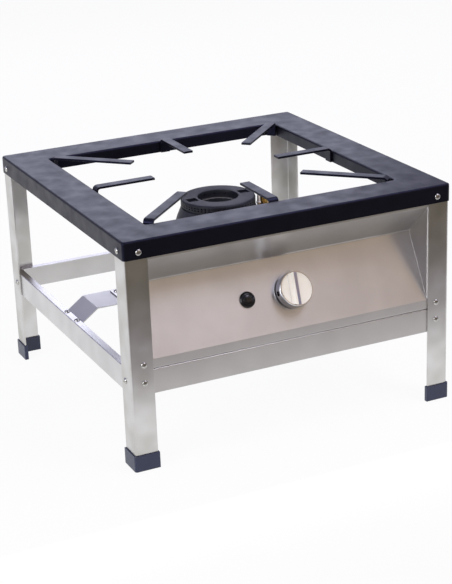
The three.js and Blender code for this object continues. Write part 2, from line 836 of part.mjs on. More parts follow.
// ---- gas valve, spindle and knob ----------------------------------------------------

const panelBack = -panelSheet;
const valveFront = panelBack - seatGap;
const valveBack = valveFront - valveNeck - valveLength;
const sleeveFront = valveFront - 5;
const sleeveBack = sleeveFront - sleeveLength;
const valveMiddle = valveFront - valveNeck - valveLength / 2;
const portReach = valveRadius + 5;

function valveGeometry() {
  const body = turned([
    [0, valveBack], [valveRadius - 3, valveBack], [valveRadius, valveBack + 4],
    [valveRadius, valveFront - valveNeck], [valveNeckRadius, valveFront - valveNeck],
    [valveNeckRadius, valveFront], [0, valveFront],
  ], 24);
  const bore = rod(sleeveRadius + slideClearance, sleeveBack - knobTravel - 1, valveFront + 1, 16);
  let valve = solidOf(body);
  const inletPort = rod(inletRadius + 2, 0, portReach, 20);
  inletPort.rotateY(Math.PI / 2);
  inletPort.translate(0, 0, valveMiddle);
  const feedPort = rod(feedRadius + 2.5, 0, portReach, 16);
  feedPort.rotateX(Math.PI / 2);
  feedPort.translate(0, 0, valveMiddle);
  const pilotPort = rod(pilotPipeRadius + 2, 0, portReach, 12);
  pilotPort.rotateX(-Math.PI / 2);
  pilotPort.translate(0, 0, valveMiddle - 9);
  for (const port of [inletPort, feedPort, pilotPort]) valve = valve.add(solidOf(port));
  return geometryOf(valve.subtract(solidOf(bore)));
}

const valveParts = new THREE.Group();
valveParts.position.x = knobOffset;
controls.add(valveParts);

addPiece('gas_valve_body', valveGeometry(), 'brass', valveParts);

addPiece('valve_thrust_sleeve', turned([
  [spindleRadius + boreClearance, sleeveBack], [sleeveRadius, sleeveBack], [sleeveRadius, sleeveFront],
  [spindleRadius + boreClearance, sleeveFront], [spindleRadius + boreClearance, sleeveBack],
], 24), 'brass', valveParts);

const hubTop = knobHeight - 5;

addPiece('valve_spindle', rod(spindleRadius, sleeveBack + 2, hubTop - 1, 16), 'brass', valveParts);

function knobGeometry() {
  const back = knobBackGap;
  const face = knobHeight;
  const drum = turned([
    [0, back], [knobRadius, back], [knobRadius, back + 1], [knobFaceRadius + 0.6, face - 1.5],
    [knobFaceRadius - 0.8, face], [0, face],
  ], 40);
  const inside = rod(knobFaceRadius - knobWall, back - 1, face - 4, 40);
  const hub = rod(spindleRadius * 2.3, back + 1, face - 3, 24);
  const bore = rod(spindleRadius + boreClearance, back, hubTop, 20);
  let knob = solidOf(drum).subtract(solidOf(inside)).add(solidOf(hub)).subtract(solidOf(bore));
  const pocketRadius = knobFaceRadius - 0.8 - knobRim;
  const pocket = solidOf(rod(pocketRadius, face - knobPocket, face + 1, 40))
    .subtract(solidOf(box(
      -knobGripWidth / 2, knobGripWidth / 2, -knobRadius, knobRadius, face - knobPocket - 1, face + 2,
    )));
  knob = knob.subtract(pocket);
  // the grip bar has a rounded back and runs from rim to rim
  const grip = new THREE.Shape();
  const half = knobGripWidth / 2;
  grip.moveTo(-half, face - 1);
  grip.lineTo(half, face - 1);
  grip.lineTo(half, face);
  grip.quadraticCurveTo(half * 0.45, face + knobGripRise * 0.2, half * 0.3, face + knobGripRise);
  grip.lineTo(-half * 0.3, face + knobGripRise);
  grip.quadraticCurveTo(-half * 0.45, face + knobGripRise * 0.2, -half, face);
  const bar = solidOf(alongY(grip, -knobRadius, knobRadius, 4))
    .intersect(solidOf(rod(knobFaceRadius - 1.2, face - 2, face + knobGripRise + 1, 40)));
  const pointer = box(
    -knobPointer / 2, knobPointer / 2, knobRadius - 2, knobRadius + knobPointer * 0.6, back, back + knobPointer,
  );
  return geometryOf(knob.add(bar).add(solidOf(pointer)));
}

addPiece('control_knob', knobGeometry(), 'chrome', valveParts);

// ---- igniter ------------------------------------------------------------------------

const igniterParts = new THREE.Group();
igniterParts.position.x = igniterOffset;
controls.add(igniterParts);

const buttonBore = buttonRadius + slideClearance;
const buttonBack = -6;

addPiece('igniter_body', turned([
  [0, -igniterDepth], [igniterBarrel * 0.6, -igniterDepth], [igniterBarrel, -igniterDepth + 6],
  [igniterBarrel, panelBack - seatGap - igniterNut], [igniterBezelRadius, panelBack - seatGap - igniterNut],
  [igniterBezelRadius, panelBack - seatGap], [igniterBarrel, panelBack - seatGap],
  [igniterBarrel, seatGap], [igniterBezelRadius, seatGap], [igniterBezelRadius, seatGap + 0.8],
  [igniterBezelRadius - 1.2, seatGap + igniterBezel], [buttonBore, seatGap + igniterBezel],
  [buttonBore, buttonBack - buttonTravel - 1], [0, buttonBack - buttonTravel - 1],
], 20), 'plastic', igniterParts);

addPiece('igniter_button', turned([
  [0, buttonBack], [buttonRadius, buttonBack], [buttonRadius, buttonRise - 2.2],
  [buttonRadius * 0.85, buttonRise - 1], [buttonRadius * 0.5, buttonRise - 0.2], [0, buttonRise],
], 24), 'plastic', igniterParts);

// ---- gas pipes ----------------------------------------------------------------------

const inletEnd = halfDepth + inletReach;
const valveInlet = onPanelList(knobOffset + portReach + seatGap, 0, valveMiddle);

function inletGeometry() {
  const [valveX, valveY, valveZ] = valveInlet;
  const tube = pipe([
    [inletOffset, inletEnd, inletHeight], [inletOffset, valveY, inletHeight],
    [inletOffset, valveY, valveZ], [valveX, valveY, valveZ],
  ], inletRadius, inletBend, 12, inletRadius - inletWall);
  const nutFace = railY - railSheet - clipSheet - 2 * seatGap;
  const nut = turned([
    [inletRadius - 1, 0], [inletNutRadius, 0], [inletNutRadius, inletNutLength],
    [inletRadius - 1, inletNutLength], [inletRadius - 1, 0],
  ], 6);
  nut.rotateX(Math.PI / 2);
  nut.translate(inletOffset, nutFace, inletHeight);
  return geometryOf(solidOf(tube).add(solidOf(nut)));
}

addPiece('gas_inlet_pipe', inletGeometry(), 'stainless');

function clipGeometry() {
  const face = railY - railSheet - seatGap;
  const plate = box(
    inletOffset - clipWidth / 2, inletOffset + clipWidth / 2, face - clipSheet, face,
    inletHeight - clipBelow, railTop - railBend - railSheet,
  );
  const hole = rod(inletRadius + boreClearance, -clipSheet * 2, clipSheet * 2, 20);
  hole.rotateX(Math.PI / 2);
  hole.translate(inletOffset, face - clipSheet / 2, inletHeight);
  return geometryOf(solidOf(plate).subtract(solidOf(hole)));
}

addPiece('inlet_clip', clipGeometry(), 'stainless');

const feedStart = onPanelList(knobOffset, -portReach - seatGap, valveMiddle);
const feedDrop = onPanelList(knobOffset, -portReach - 14, valveMiddle);
const feedEnd = -(injectorRadius + 6 + seatGap);
const feedWorldX = feedX + burnerOffset;

addPiece('burner_feed_pipe', pipe([
  feedStart, feedDrop, [feedWorldX, feedDrop[1] + 6, feedDrop[2] - 4],
  [feedWorldX, feedEnd - 60, mixingAxis], [feedWorldX, feedEnd, mixingAxis],
], feedRadius, pipeBend, 8), 'aluminium');

// ---- pilot burner, thermocouple and ignition electrode ------------------------------

const pilotParts = new THREE.Group();
pilotParts.rotation.z = pilotAngle;
burnerParts.add(pilotParts);
pilotParts.updateMatrixWorld(true);

function byPilot(out, along, height) {
  return pilotParts.localToWorld(new THREE.Vector3(out, along, height)).toArray();
}

const electrodeAlong = pilotSpread;
const pilotAlong = -pilotSpread * 0.7;
const thermocoupleAlong = -pilotSpread * 1.5;
const electrodeOut = pilotRing - pilotStagger;
const thermocoupleOut = pilotRing + pilotStagger;
const pilotClear = flareRadius + 7;              // pipes pass the flare at this radius
const shelfTop = pilotShelf + pilotSheet;

function pilotBurnerGeometry() {
  const outer = flareRadius + pilotLugReach;
  const half = pilotLugWidth / 2;
  const inner = capOuterRadius + 8;
  const shelf = box(inner, outer, -pilotShelfWidth / 2, pilotShelfWidth / 2, pilotShelf, shelfTop);
  const riser = box(outer - pilotSheet, outer, -half, half, pilotLugTop + seatGap, shelfTop);
  const foot = box(
    flareRadius + 1, outer, -half, half, pilotLugTop + seatGap, pilotLugTop + seatGap + pilotSheet,
  );
  const tube = turned([
    [0, pilotShelf - 8], [pilotBurnerRadius - 1, pilotShelf - 8], [pilotBurnerRadius - 1, pilotShelf - 1],
    [pilotBurnerRadius, pilotShelf], [pilotBurnerRadius, shelfTop + pilotBurnerHeight * 0.55],
    [pilotBurnerRadius + 1, shelfTop + pilotBurnerHeight * 0.6],
    [pilotBurnerRadius + 1, shelfTop + pilotBurnerHeight], [0, shelfTop + pilotBurnerHeight],
  ], 16);
  tube.translate(pilotRing, pilotAlong, 0);
  let burner = solidOf(shelf).add(solidOf(riser)).add(solidOf(foot)).add(solidOf(tube));
  for (const [out, along, radius] of [
    [electrodeOut, electrodeAlong, ceramicRadius], [thermocoupleOut, thermocoupleAlong, thermocoupleRadius],
  ]) {
    const hole = rod(radius + boreClearance, pilotShelf - 1, shelfTop + 1, 16);
    hole.translate(out, along, 0);
    burner = burner.subtract(solidOf(hole));
  }
  return geometryOf(burner);
}

addPiece('pilot_burner', pilotBurnerGeometry(), 'brass', pilotParts);

const electrode = addPiece('ignition_electrode', turned([
  [0, pilotShelf - 6], [1.4, pilotShelf - 6], [1.4, pilotShelf - 1], [ceramicRadius, pilotShelf - 1],
  [ceramicRadius, shelfTop], [ceramicRadius + 1.2, shelfTop + seatGap], [ceramicRadius + 1.2, shelfTop + 3],
  [ceramicRadius, shelfTop + 4], [ceramicRadius * 0.8, shelfTop + ceramicHeight], [1, shelfTop + ceramicHeight],
  [1, shelfTop + ceramicHeight + electrodeTip], [0, shelfTop + ceramicHeight + electrodeTip],
], 16), 'ceramic', pilotParts);
electrode.position.set(electrodeOut, electrodeAlong, 0);

const thermocoupleEnd = onPanelList(knobOffset, 0, valveBack - seatGap);
const thermocoupleNear = onPanelList(knobOffset, 0, valveBack - 18);
const thermocoupleRoot = byPilot(thermocoupleOut, thermocoupleAlong, 0);

function thermocoupleGeometry() {
  const tip = turned([
    [0, pilotShelf - 7], [thermocoupleRadius - 0.8, pilotShelf - 7], [thermocoupleRadius - 0.8, pilotShelf - 1],
    [thermocoupleRadius, pilotShelf - 1], [thermocoupleRadius, shelfTop + 8],
    [thermocoupleRadius - 0.6, shelfTop + 9], [thermocoupleRadius - 0.6, shelfTop + thermocoupleHeight - 2],
    [thermocoupleRadius - 1.6, shelfTop + thermocoupleHeight], [0, shelfTop + thermocoupleHeight],
  ], 12);
  tip.translate(thermocoupleRoot[0], thermocoupleRoot[1], 0);
  const lead = pipe([
    byPilot(thermocoupleOut, thermocoupleAlong, pilotShelf - 5),
    byPilot(thermocoupleOut, thermocoupleAlong, pilotShelf - 12),
    byPilot(pilotClear, thermocoupleAlong, flareBottom),
    byPilot(pilotClear, thermocoupleAlong, bowlBottom),
    [thermocoupleRoot[0] + 10, thermocoupleNear[1] + 10, thermocoupleNear[2]],
    thermocoupleNear, thermocoupleEnd,
  ], leadRadius, pipeBend, 6);
  return geometryOf(solidOf(tip).add(solidOf(lead)));
}

addPiece('thermocouple', thermocoupleGeometry(), 'brass');

const pilotStart = onPanelList(knobOffset, portReach + seatGap, valveMiddle - 9);
const pilotRise = onPanelList(knobOffset, portReach + 16, valveMiddle - 9);

addPiece('pilot_pipe', pipe([
  pilotStart, pilotRise, byPilot(pilotClear + 12, -pipeBend * 3, bowlBottom),
  byPilot(pilotClear + 12, pilotAlong, bowlBottom), byPilot(pilotClear, pilotAlong, flareBottom),
  byPilot(pilotRing, pilotAlong, pilotShelf - 12), byPilot(pilotRing, pilotAlong, pilotShelf - 8 - seatGap),
], pilotPipeRadius, pipeBend, 6), 'aluminium');

const cableStart = onPanelList(igniterOffset, 0, -igniterDepth - seatGap);
const cableNear = onPanelList(igniterOffset, 0, -igniterDepth - 18);
const cableClear = flareRadius + pilotLugReach + 16;    // the cable goes round outside the lug

addPiece('ignition_cable', pipe([
  cableStart, cableNear, [0, cableNear[1] + 40, cableNear[2] + 24],
  byPilot(cableClear, -pipeBend * 4, flareBottom - 8),
  byPilot(cableClear, electrodeAlong, flareBottom - 8),
  byPilot(electrodeOut + 6, electrodeAlong, flareBottom + 6),
  byPilot(electrodeOut, electrodeAlong, pilotShelf - 9),
  byPilot(electrodeOut, electrodeAlong, pilotShelf - 6 - seatGap),
], cableRadius, pipeBend, 6), 'rubber');

export default range;
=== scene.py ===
import math

import bmesh
import bpy
from mathutils import Matrix, Vector


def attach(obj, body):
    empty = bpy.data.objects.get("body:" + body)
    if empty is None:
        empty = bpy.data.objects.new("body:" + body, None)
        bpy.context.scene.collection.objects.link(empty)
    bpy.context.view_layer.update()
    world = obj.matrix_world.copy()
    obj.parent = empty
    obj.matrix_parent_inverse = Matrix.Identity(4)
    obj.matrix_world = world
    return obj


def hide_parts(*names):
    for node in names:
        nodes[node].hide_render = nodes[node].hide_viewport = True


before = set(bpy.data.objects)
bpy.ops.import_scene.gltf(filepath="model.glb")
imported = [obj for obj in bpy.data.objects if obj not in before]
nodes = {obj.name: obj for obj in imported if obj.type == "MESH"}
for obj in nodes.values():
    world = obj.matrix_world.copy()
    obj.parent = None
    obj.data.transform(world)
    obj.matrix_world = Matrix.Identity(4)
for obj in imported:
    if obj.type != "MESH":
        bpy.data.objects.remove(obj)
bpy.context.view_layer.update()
print("stage: frame loaded,", len(nodes), "nodes")

# finishes


def linear(code):  # sRGB hex to linear
    values = [int(code[i:i + 2], 16) / 255 for i in (0, 2, 4)]
    return [v / 12.92 if v <= 0.04045 else ((v + 0.055) / 1.055) ** 2.4 for v in values] + [1.0]


def addNode(tree, kind, inputs=None, links=None, stops=None, **settings):
    # one node with its values, its links (from a socket, or from a node's first output) and its colour stops
    node = tree.nodes.new("ShaderNode" + kind)
    for key, value in settings.items():
        setattr(node, key, value)
    for key, value in (inputs or {}).items():
        node.inputs[key].default_value = value
    for key, source in (links or {}).items():
        tree.links.new(source.outputs[0] if hasattr(source, "outputs") else source, node.inputs[key])
    if stops:
        while len(node.color_ramp.elements) < len(stops):
            node.color_ramp.elements.new(0.5)
        for element, (place, code) in zip(node.color_ramp.elements, stops):
            element.position, element.color = place, linear(code)
    return node


noiseSpan = {"From Min": 0.3, "From Max": 0.7}  # where nearly all of a noise's values lie


def emptyMaterial(name):
    material = bpy.data.materials.new(name)
    material.use_nodes = True
    material.node_tree.nodes.clear()
    return material, material.node_tree


steelLook = {
    # bare 18/10 stainless, clouded between two tones: the upright legs more than the rest
    "tones": {"X": ("d0cfce", "d6d5d4"), "Y": ("cccbcb", "d7d6d6"), "Z": ("c4c3bf", "dad9d9")},
    "roughness": (0.3, 0.34),
    "stretch": 0.78,  # how much wider it blurs across the lines than along them
    "across": {"X": (0, 0.3, 1), "Y": (1, 0, 1), "Z": (1, 1, 0)},  # a direction off the lines, for each run
    "lineSpacing": 0.0008,  # belt lines, drawn coarser than the real 0.1 mm so that they show
    "lineLength": 0.12,
    "waveSize": 0.05,  # slight hollows left by rolling and folding
    "waveDepth": 0.0001,
}


def brushedSteel(name, along):
    # stainless sheet, belt-ground one way: long soft highlights, fine lines, a slow wave in what it mirrors
    material, tree = emptyMaterial(name)
    where = addNode(tree, "TexCoord").outputs["Object"]
    stretch = [1 / steelLook["lineLength" if axis == along else "lineSpacing"] for axis in "XYZ"]
    lined = addNode(tree, "Mapping", {"Scale": stretch}, {"Vector": where})
    lines = addNode(tree, "TexNoise", {"Scale": 1.0, "Detail": 4.0, "Roughness": 0.6}, {"Vector": lined})
    waves = addNode(tree, "TexNoise", {"Scale": 1 / steelLook["waveSize"], "Detail": 1.5}, {"Vector": where})
    first, second = steelLook["tones"][along]
    colour = addNode(tree, "ValToRGB", links={"Fac": waves}, stops=[(0.35, first), (0.65, second)])
    low, high = steelLook["roughness"]
    rough = addNode(
        tree, "MapRange", {**noiseSpan, "To Min": low, "To Max": high}, {"Value": lines}
    )
    hollow = addNode(tree, "Bump", {"Strength": 1.0, "Distance": steelLook["waveDepth"]}, {"Height": waves})
    ground = addNode(
        tree, "Bump", {"Strength": 0.06, "Distance": 0.00003}, {"Height": lines, "Normal": hollow}
    )
    across = addNode(tree, "CombineXYZ", dict(enumerate(steelLook["across"][along])))
    shader = addNode(
        tree, "BsdfPrincipled", {"Metallic": 1.0, "Anisotropic": steelLook["stretch"]},
        {"Base Color": colour, "Roughness": rough, "Normal": ground, "Tangent": across},
    )
    addNode(tree, "OutputMaterial", links={"Surface": shader})
    return material


enamelLook = {
    "tones": ["0b0b0d", "131316"],
    "paintedReflectionTint": "aab0ff",  # painted reflection: the faint violet of what it mirrors, tinted into its reflections
    "grain": 0.0011,  # orange-peel of the fired coat
    "wave": 0.03,
    "roughness": (0.33, 0.45),
    "seam": 0.0007,  # half the width of the dressed weld across each mitred corner
    "seamOffset": 0.005,  # half the frame's width less half its depth
}


def blackEnamel(name, seams):
    # vitreous enamel fired on sheet steel: near-black with a painted slate-violet tint in its reflections,
    # softly uneven, welds faintly proud
    material, tree = emptyMaterial(name)
    where = addNode(tree, "TexCoord").outputs["Object"]
    grain = addNode(tree, "TexNoise", {"Scale": 1 / enamelLook["grain"], "Detail": 2.0}, {"Vector": where})
    wave = addNode(tree, "TexNoise", {"Scale": 1 / enamelLook["wave"], "Detail": 2.0}, {"Vector": where})
    first, second = enamelLook["tones"]
    colour = addNode(tree, "ValToRGB", links={"Fac": grain}, stops=[(0.35, first), (0.65, second)])
    low, high = enamelLook["roughness"]
    rough = addNode(
        tree, "MapRange", {**noiseSpan, "To Min": low, "To Max": high}, {"Value": wave}
    )
    height = addNode(tree, "Math", {1: 0.15}, {0: grain, 2: wave}, operation="MULTIPLY_ADD")
    if seams:  # the weld runs where |x| - |y| is the seam's offset
        parts = addNode(tree, "SeparateXYZ", links={"Vector": where})
        across = addNode(tree, "Math", links={0: parts.outputs["X"]}, operation="ABSOLUTE")
        deep = addNode(tree, "Math", links={0: parts.outputs["Y"]}, operation="ABSOLUTE")
        past = addNode(tree, "Math", links={0: across, 1: deep}, operation="SUBTRACT")
        bead = addNode(
            tree, "Math", {1: enamelLook["seamOffset"], 2: enamelLook["seam"]}, {0: past}, operation="COMPARE"
        )
        height = addNode(tree, "Math", {1: 1.5}, {0: bead, 2: height}, operation="MULTIPLY_ADD")
    bump = addNode(tree, "Bump", {"Strength": 0.16, "Distance": 0.0004}, {"Height": height})
    shader = addNode(
        tree, "BsdfPrincipled", {"Specular IOR Level": 0.28, "Specular Tint": linear(enamelLook["paintedReflectionTint"])},
        {"Base Color": colour, "Roughness": rough, "Normal": bump},
    )
    addNode(tree, "OutputMaterial", links={"Surface": shader})
    return material


ironLook = {
    "bodyTones": ["1b1d25", "282b35"],
    "capTones": ["14161f", "1e202c"],
    "seatTone": "b4b2ad",  # the machined seat that the cap stands on
    "seatHeight": 0.3308,
    "grain": 0.0011,  # moulding sand
    "patches": 45.0,  # to the metre: clouds in the coat about 22 mm wide
    "roughness": (0.46, 0.62),
}


def castIron(name, tones, seat):
    # sand-cast grey iron under a thin dark coat: pebbled and matt, bright only where it is machined
    material, tree = emptyMaterial(name)
    where = addNode(tree, "TexCoord").outputs["Object"]
    sand = addNode(
        tree, "TexNoise", {"Scale": 1 / ironLook["grain"], "Detail": 4.0, "Roughness": 0.65},
        {"Vector": where},
    )
    patch = addNode(tree, "TexNoise", {"Scale": ironLook["patches"], "Detail": 3.0}, {"Vector": where})
    colour = addNode(tree, "ValToRGB", links={"Fac": patch}, stops=[(0.3, tones[0]), (0.7, tones[1])])
    low, high = ironLook["roughness"]
    rough = addNode(
        tree, "MapRange", {**noiseSpan, "To Min": low, "To Max": high}, {"Value": sand}
    )
    bump = addNode(tree, "Bump", {"Strength": 0.6, "Distance": 0.00022}, {"Height": sand})
    shader = addNode(
        tree, "BsdfPrincipled", {"Metallic": 0.3}, {"Base Color": colour, "Roughness": rough, "Normal": bump}
    )
    if seat:
        height = addNode(tree, "SeparateXYZ", links={"Vector": where}).outputs["Z"]
        turned = addNode(tree, "Math", {1: ironLook["seatHeight"]}, {0: height}, operation="GREATER_THAN")
        bright = addNode(
            tree, "Mix", {7: linear(ironLook["seatTone"])}, {0: turned, 6: colour}, data_type="RGBA"
        )
        tree.links.new(bright.outputs[2], shader.inputs["Base Color"])
        tree.links.new(turned.outputs[0], shader.inputs["Metallic"])
    addNode(tree, "OutputMaterial", links={"Surface": shader})
    return material


def mouldedPlastic(name, tones, roughness, grain, depth):
    # injection-moulded or glazed: even colour, a light grain from the mould
    material, tree = emptyMaterial(name)
    where = addNode(tree, "TexCoord").outputs["Object"]
    skin = addNode(tree, "TexNoise", {"Scale": 1 / grain, "Detail": 2.0}, {"Vector": where})
    colour = addNode(tree, "ValToRGB", links={"Fac": skin}, stops=[(0.3, tones[0]), (0.7, tones[1])])
    rough = addNode(
        tree, "MapRange",
        {**noiseSpan, "To Min": roughness * 0.85, "To Max": roughness * 1.2},
        {"Value": skin},
    )
    bump = addNode(tree, "Bump", {"Strength": 0.5, "Distance": depth}, {"Height": skin})
    shader = addNode(
        tree, "BsdfPrincipled", links={"Base Color": colour, "Roughness": rough, "Normal": bump}
    )
    addNode(tree, "OutputMaterial", links={"Surface": shader})
    return material


def plainMetal(name, tones, roughness, grain, depth):
    # turned, plated or drawn metal: nearly plain, with slight clouding in colour and polish
    material, tree = emptyMaterial(name)
    where = addNode(tree, "TexCoord").outputs["Object"]
    cloud = addNode(tree, "TexNoise", {"Scale": 1 / grain, "Detail": 3.0}, {"Vector": where})
    colour = addNode(tree, "ValToRGB", links={"Fac": cloud}, stops=[(0.3, tones[0]), (0.7, tones[1])])
    rough = addNode(
        tree, "MapRange",
        {**noiseSpan, "To Min": roughness * 0.8, "To Max": roughness * 1.25},
        {"Value": cloud},
    )
    bump = addNode(tree, "Bump", {"Strength": 0.4, "Distance": depth}, {"Height": cloud})
    shader = addNode(
        tree, "BsdfPrincipled", {"Metallic": 1.0}, {"Base Color": colour, "Roughness": rough, "Normal": bump}
    )
    addNode(tree, "OutputMaterial", links={"Surface": shader})
    return material


# each finish with the record's slot that it stands for
finishes = {
    "frameEnamel": (blackEnamel("blackVitreousEnamelFrame", True), "black_enamel"),
    "barEnamel": (blackEnamel("blackVitreousEnamelBars", False), "black_enamel"),
    "steelAlongX": (brushedSteel("brushedStainlessAlongX", "X"), "brushed_stainless"),
    "steelAlongY": (brushedSteel("brushedStainlessAlongY", "Y"), "brushed_stainless"),
    "steelUpright": (brushedSteel("brushedStainlessUpright", "Z"), "brushed_stainless"),
    "bodyIron": (castIron("castIronBody", ironLook["bodyTones"], True), "cast_iron"),
    "capIron": (castIron("castIronCap", ironLook["capTones"], False), "cast_iron"),
    "footPlastic": (
        mouldedPlastic("mouldedFootNylon", ["232a42", "2d3550"], 0.34, 0.0014, 0.00006), "foot_plastic",
    ),
    "igniterPlastic": (
        mouldedPlastic("glossIgniterNylon", ["0b0b0c", "111113"], 0.16, 0.003, 0.00002), "igniter_plastic",
    ),
    "ceramic": (mouldedPlastic("glazedAlumina", ["ece9e1", "f6f4ee"], 0.20, 0.005, 0.00002), "ceramic"),
    "cable": (
        mouldedPlastic("siliconeCableSheath", ["161617", "1e1e20"], 0.6, 0.002, 0.00005), "cable_rubber",
    ),
    "chrome": (
        plainMetal("chromePlatedPlastic", ["dcdee6", "e8eaf0"], 0.14, 0.008, 0.00001), "knob_chrome",
    ),
    # painted shade: a darker violet-grey metal laid on the grip's flank that faces away from the light
    "gripPaintedShadeFlank": (
        plainMetal("paintedShadeGripFlank", ["a9a6b4", "b7b4c2"], 0.36, 0.008, 0.00001), "knob_chrome",
    ),
    # cream lacquer of the sunk faces, also laid on the grip's top and left flank as a painted highlight
    "creamFacesAndLitFlank": (
        mouldedPlastic("satinCreamLacquerAndLitFlank", ["faf7ea", "fdfaf0"], 0.34, 0.004, 0.00002), "knob_chrome",
    ),
    "brass": (plainMetal("turnedBrass", ["a8864a", "c2a25f"], 0.30, 0.003, 0.00003), "brass"),
    "aluminium": (
        plainMetal("drawnAluminium", ["a4a6aa", "babcc0"], 0.34, 0.003, 0.00003), "bare_aluminium",
    ),
    "zinc": (plainMetal("zincPlatedSteel", ["8e9096", "a9abb0"], 0.38, 0.016, 0.00005), "pipe_steel"),
    "screwSteel": (
        plainMetal("nickelPlatedScrews", ["b6b5b1", "cac9c6"], 0.22, 0.002, 0.00002), "pipe_steel",
    ),
}
print("stage: finishes made")

# helpers for the pieces, which are all drawn in millimetres

drawing = {
    "merge": 0.002,  # points nearer than this are one
    "near": 0.01,  # how exactly a face or point is looked up by its place
    "mouth": 0.3,  # how near a drilled hole lies to its point
    "flat": 0.5,  # degrees between faces of a CAD node that count as one
    "wide": 8,  # a face this many times wider than its neighbour mirrors as flat
}
corners = (("front_left", -1, -1), ("front_right", 1, -1), ("back_right", 1, 1), ("back_left", -1, 1))


def vertsOf(geometry):  # the points among what an operator has made
    return [part for part in geometry if isinstance(part, bmesh.types.BMVert)]


def roundOff(builder, geometry, reach, segments, affect="EDGES"):
    bmesh.ops.bevel(
        builder, geom=geometry, offset=reach, affect=affect, segments=segments, profile=0.5, material=-1
    )


def drawOut(builder, faces, move=(0, 0, 0)):
    # faces are drawn out of their surface with walls round them, and what they leave behind is deleted
    drawn = vertsOf(bmesh.ops.extrude_face_region(builder, geom=faces)["geom"])
    bmesh.ops.translate(builder, vec=move, verts=drawn)
    bmesh.ops.delete(builder, geom=[face for face in faces if face.is_valid], context="FACES_ONLY")
    return drawn


def newPiece(name, builder, finish, replaced=(), body="stand", outward=None, crease=35):
    # a drawn bmesh becomes a piece: doubles merged, faces outwards, smooth between its creases
    bmesh.ops.remove_doubles(builder, verts=builder.verts, dist=drawing["merge"])
    bmesh.ops.recalc_face_normals(builder, faces=builder.faces)
    if outward:  # on an open skin the widest face shows which way is out
        widest = max(builder.faces, key=lambda face: face.calc_area())
        if widest.normal.dot(Vector(outward)) < 0:
            bmesh.ops.reverse_faces(builder, faces=builder.faces)
    bmesh.ops.scale(builder, vec=(0.001, 0.001, 0.001), verts=builder.verts)
    mesh = bpy.data.meshes.new(name)
    builder.to_mesh(mesh)
    builder.free()
    mesh.shade_smooth()
    mesh.set_sharp_from_angle(angle=math.radians(crease))
    mesh.materials.append(finishes[finish][0])
    piece = bpy.data.objects.new(name, mesh)
    bpy.context.scene.collection.objects.link(piece)
    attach(piece, body)
    if replaced:
        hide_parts(*replaced)
    return piece


def breakEdges(piece, width, segments=2, angle=40):  # softly broken arrises that catch the light
    edge = piece.modifiers.new("brokenEdges", "BEVEL")
    edge.width, edge.segments = width / 1000, segments
    edge.limit_method, edge.angle_limit = "ANGLE", math.radians(angle)
    edge.harden_normals = True


def keepFlats(mesh):  # wide faces keep their own normals beside narrow rounded folds, and mirror as flat
    areas = {}
    for polygon in mesh.polygons:
        for key in polygon.edge_keys:
            areas.setdefault(key, []).append(polygon.area)
    for edge in mesh.edges:
        if max(areas[edge.key]) > drawing["wide"] * min(areas[edge.key]):
            edge.use_edge_sharp = True


def giveSheet(piece, thickness, edge=0.25):  # the drawn skin is the outside, the sheet lies behind it
    keepFlats(piece.data)
    wall = piece.modifiers.new("sheet", "SOLIDIFY")
    wall.thickness, wall.offset, wall.use_even_offset = thickness / 1000, -1, True
    breakEdges(piece, edge)


def foldedSkin(line, run, radius, steps=5):
    # a folded sheet: the line of its face drawn along a run, each fold rounded to its outside radius
    builder = bmesh.new()
    points = [builder.verts.new(point) for point in line]
    edges = [builder.edges.new(pair) for pair in zip(points, points[1:])]
    drawn = bmesh.ops.extrude_edge_only(builder, edges=edges)["geom"]
    bmesh.ops.translate(builder, vec=run, verts=vertsOf(drawn))
    bmesh.ops.recalc_face_normals(builder, faces=builder.faces)
    for fold in [edge for edge in builder.edges if len(edge.link_faces) == 2]:
        reach = radius * math.tan(fold.calc_face_angle() / 2)
        roundOff(builder, [fold], reach, steps)
    return builder


def turnedSkin(profile, steps=48):
    # a turned piece about Z from its profile of (radius, height) points
    builder = bmesh.new()
    points = [builder.verts.new((radius, 0, height)) for radius, height in profile]
    edges = [builder.edges.new(pair) for pair in zip(points, points[1:])]
    bmesh.ops.spin(
        builder, geom=points + edges, axis=(0, 0, 1), cent=(0, 0, 0), angle=math.tau, steps=steps,
        use_merge=True,
    )
    bmesh.ops.remove_doubles(builder, verts=builder.verts, dist=drawing["merge"])
    return builder


def cutAcross(builder, faces, point, normal, **keep):  # a plane cuts some faces
    geometry = set(faces)
    for face in faces:
        geometry.update(face.edges)
        geometry.update(face.verts)
    bmesh.ops.bisect_plane(
        builder, geom=list(geometry), dist=drawing["merge"] / 4, plane_co=point, plane_no=normal, **keep
    )


def drillRound(builder, centres, radius, depth):
    # eight-sided holes drilled towards the Z axis at chosen vertices of a turned wall
    places = [vert.co.copy() for vert in centres]
    roundOff(builder, centres, radius, 1, "VERTICES")
    mouthArea = 2 * radius ** 2  # of the square that the cut corner leaves
    mouths = [
        face for face in builder.faces
        if len(face.verts) == 4 and face.calc_area() < 1.1 * mouthArea
        and any((face.calc_center_median() - place).length < drawing["mouth"] for place in places)
    ]
    for mouth in mouths:  # each side of the four gets a middle point at the hole's radius
        middle = mouth.calc_center_median()
        for edge in list(mouth.edges):
            point = bmesh.utils.edge_split(edge, edge.verts[0], 0.5)[1]
            point.co = middle + (point.co - middle).normalized() * radius
    for bottom in bmesh.ops.extrude_discrete_faces(builder, faces=mouths)["faces"]:
        middle = bottom.calc_center_median()
        inwards = -Vector((middle.x, middle.y, 0)).normalized() * depth
        bmesh.ops.translate(builder, vec=inwards, verts=list(bottom.verts))


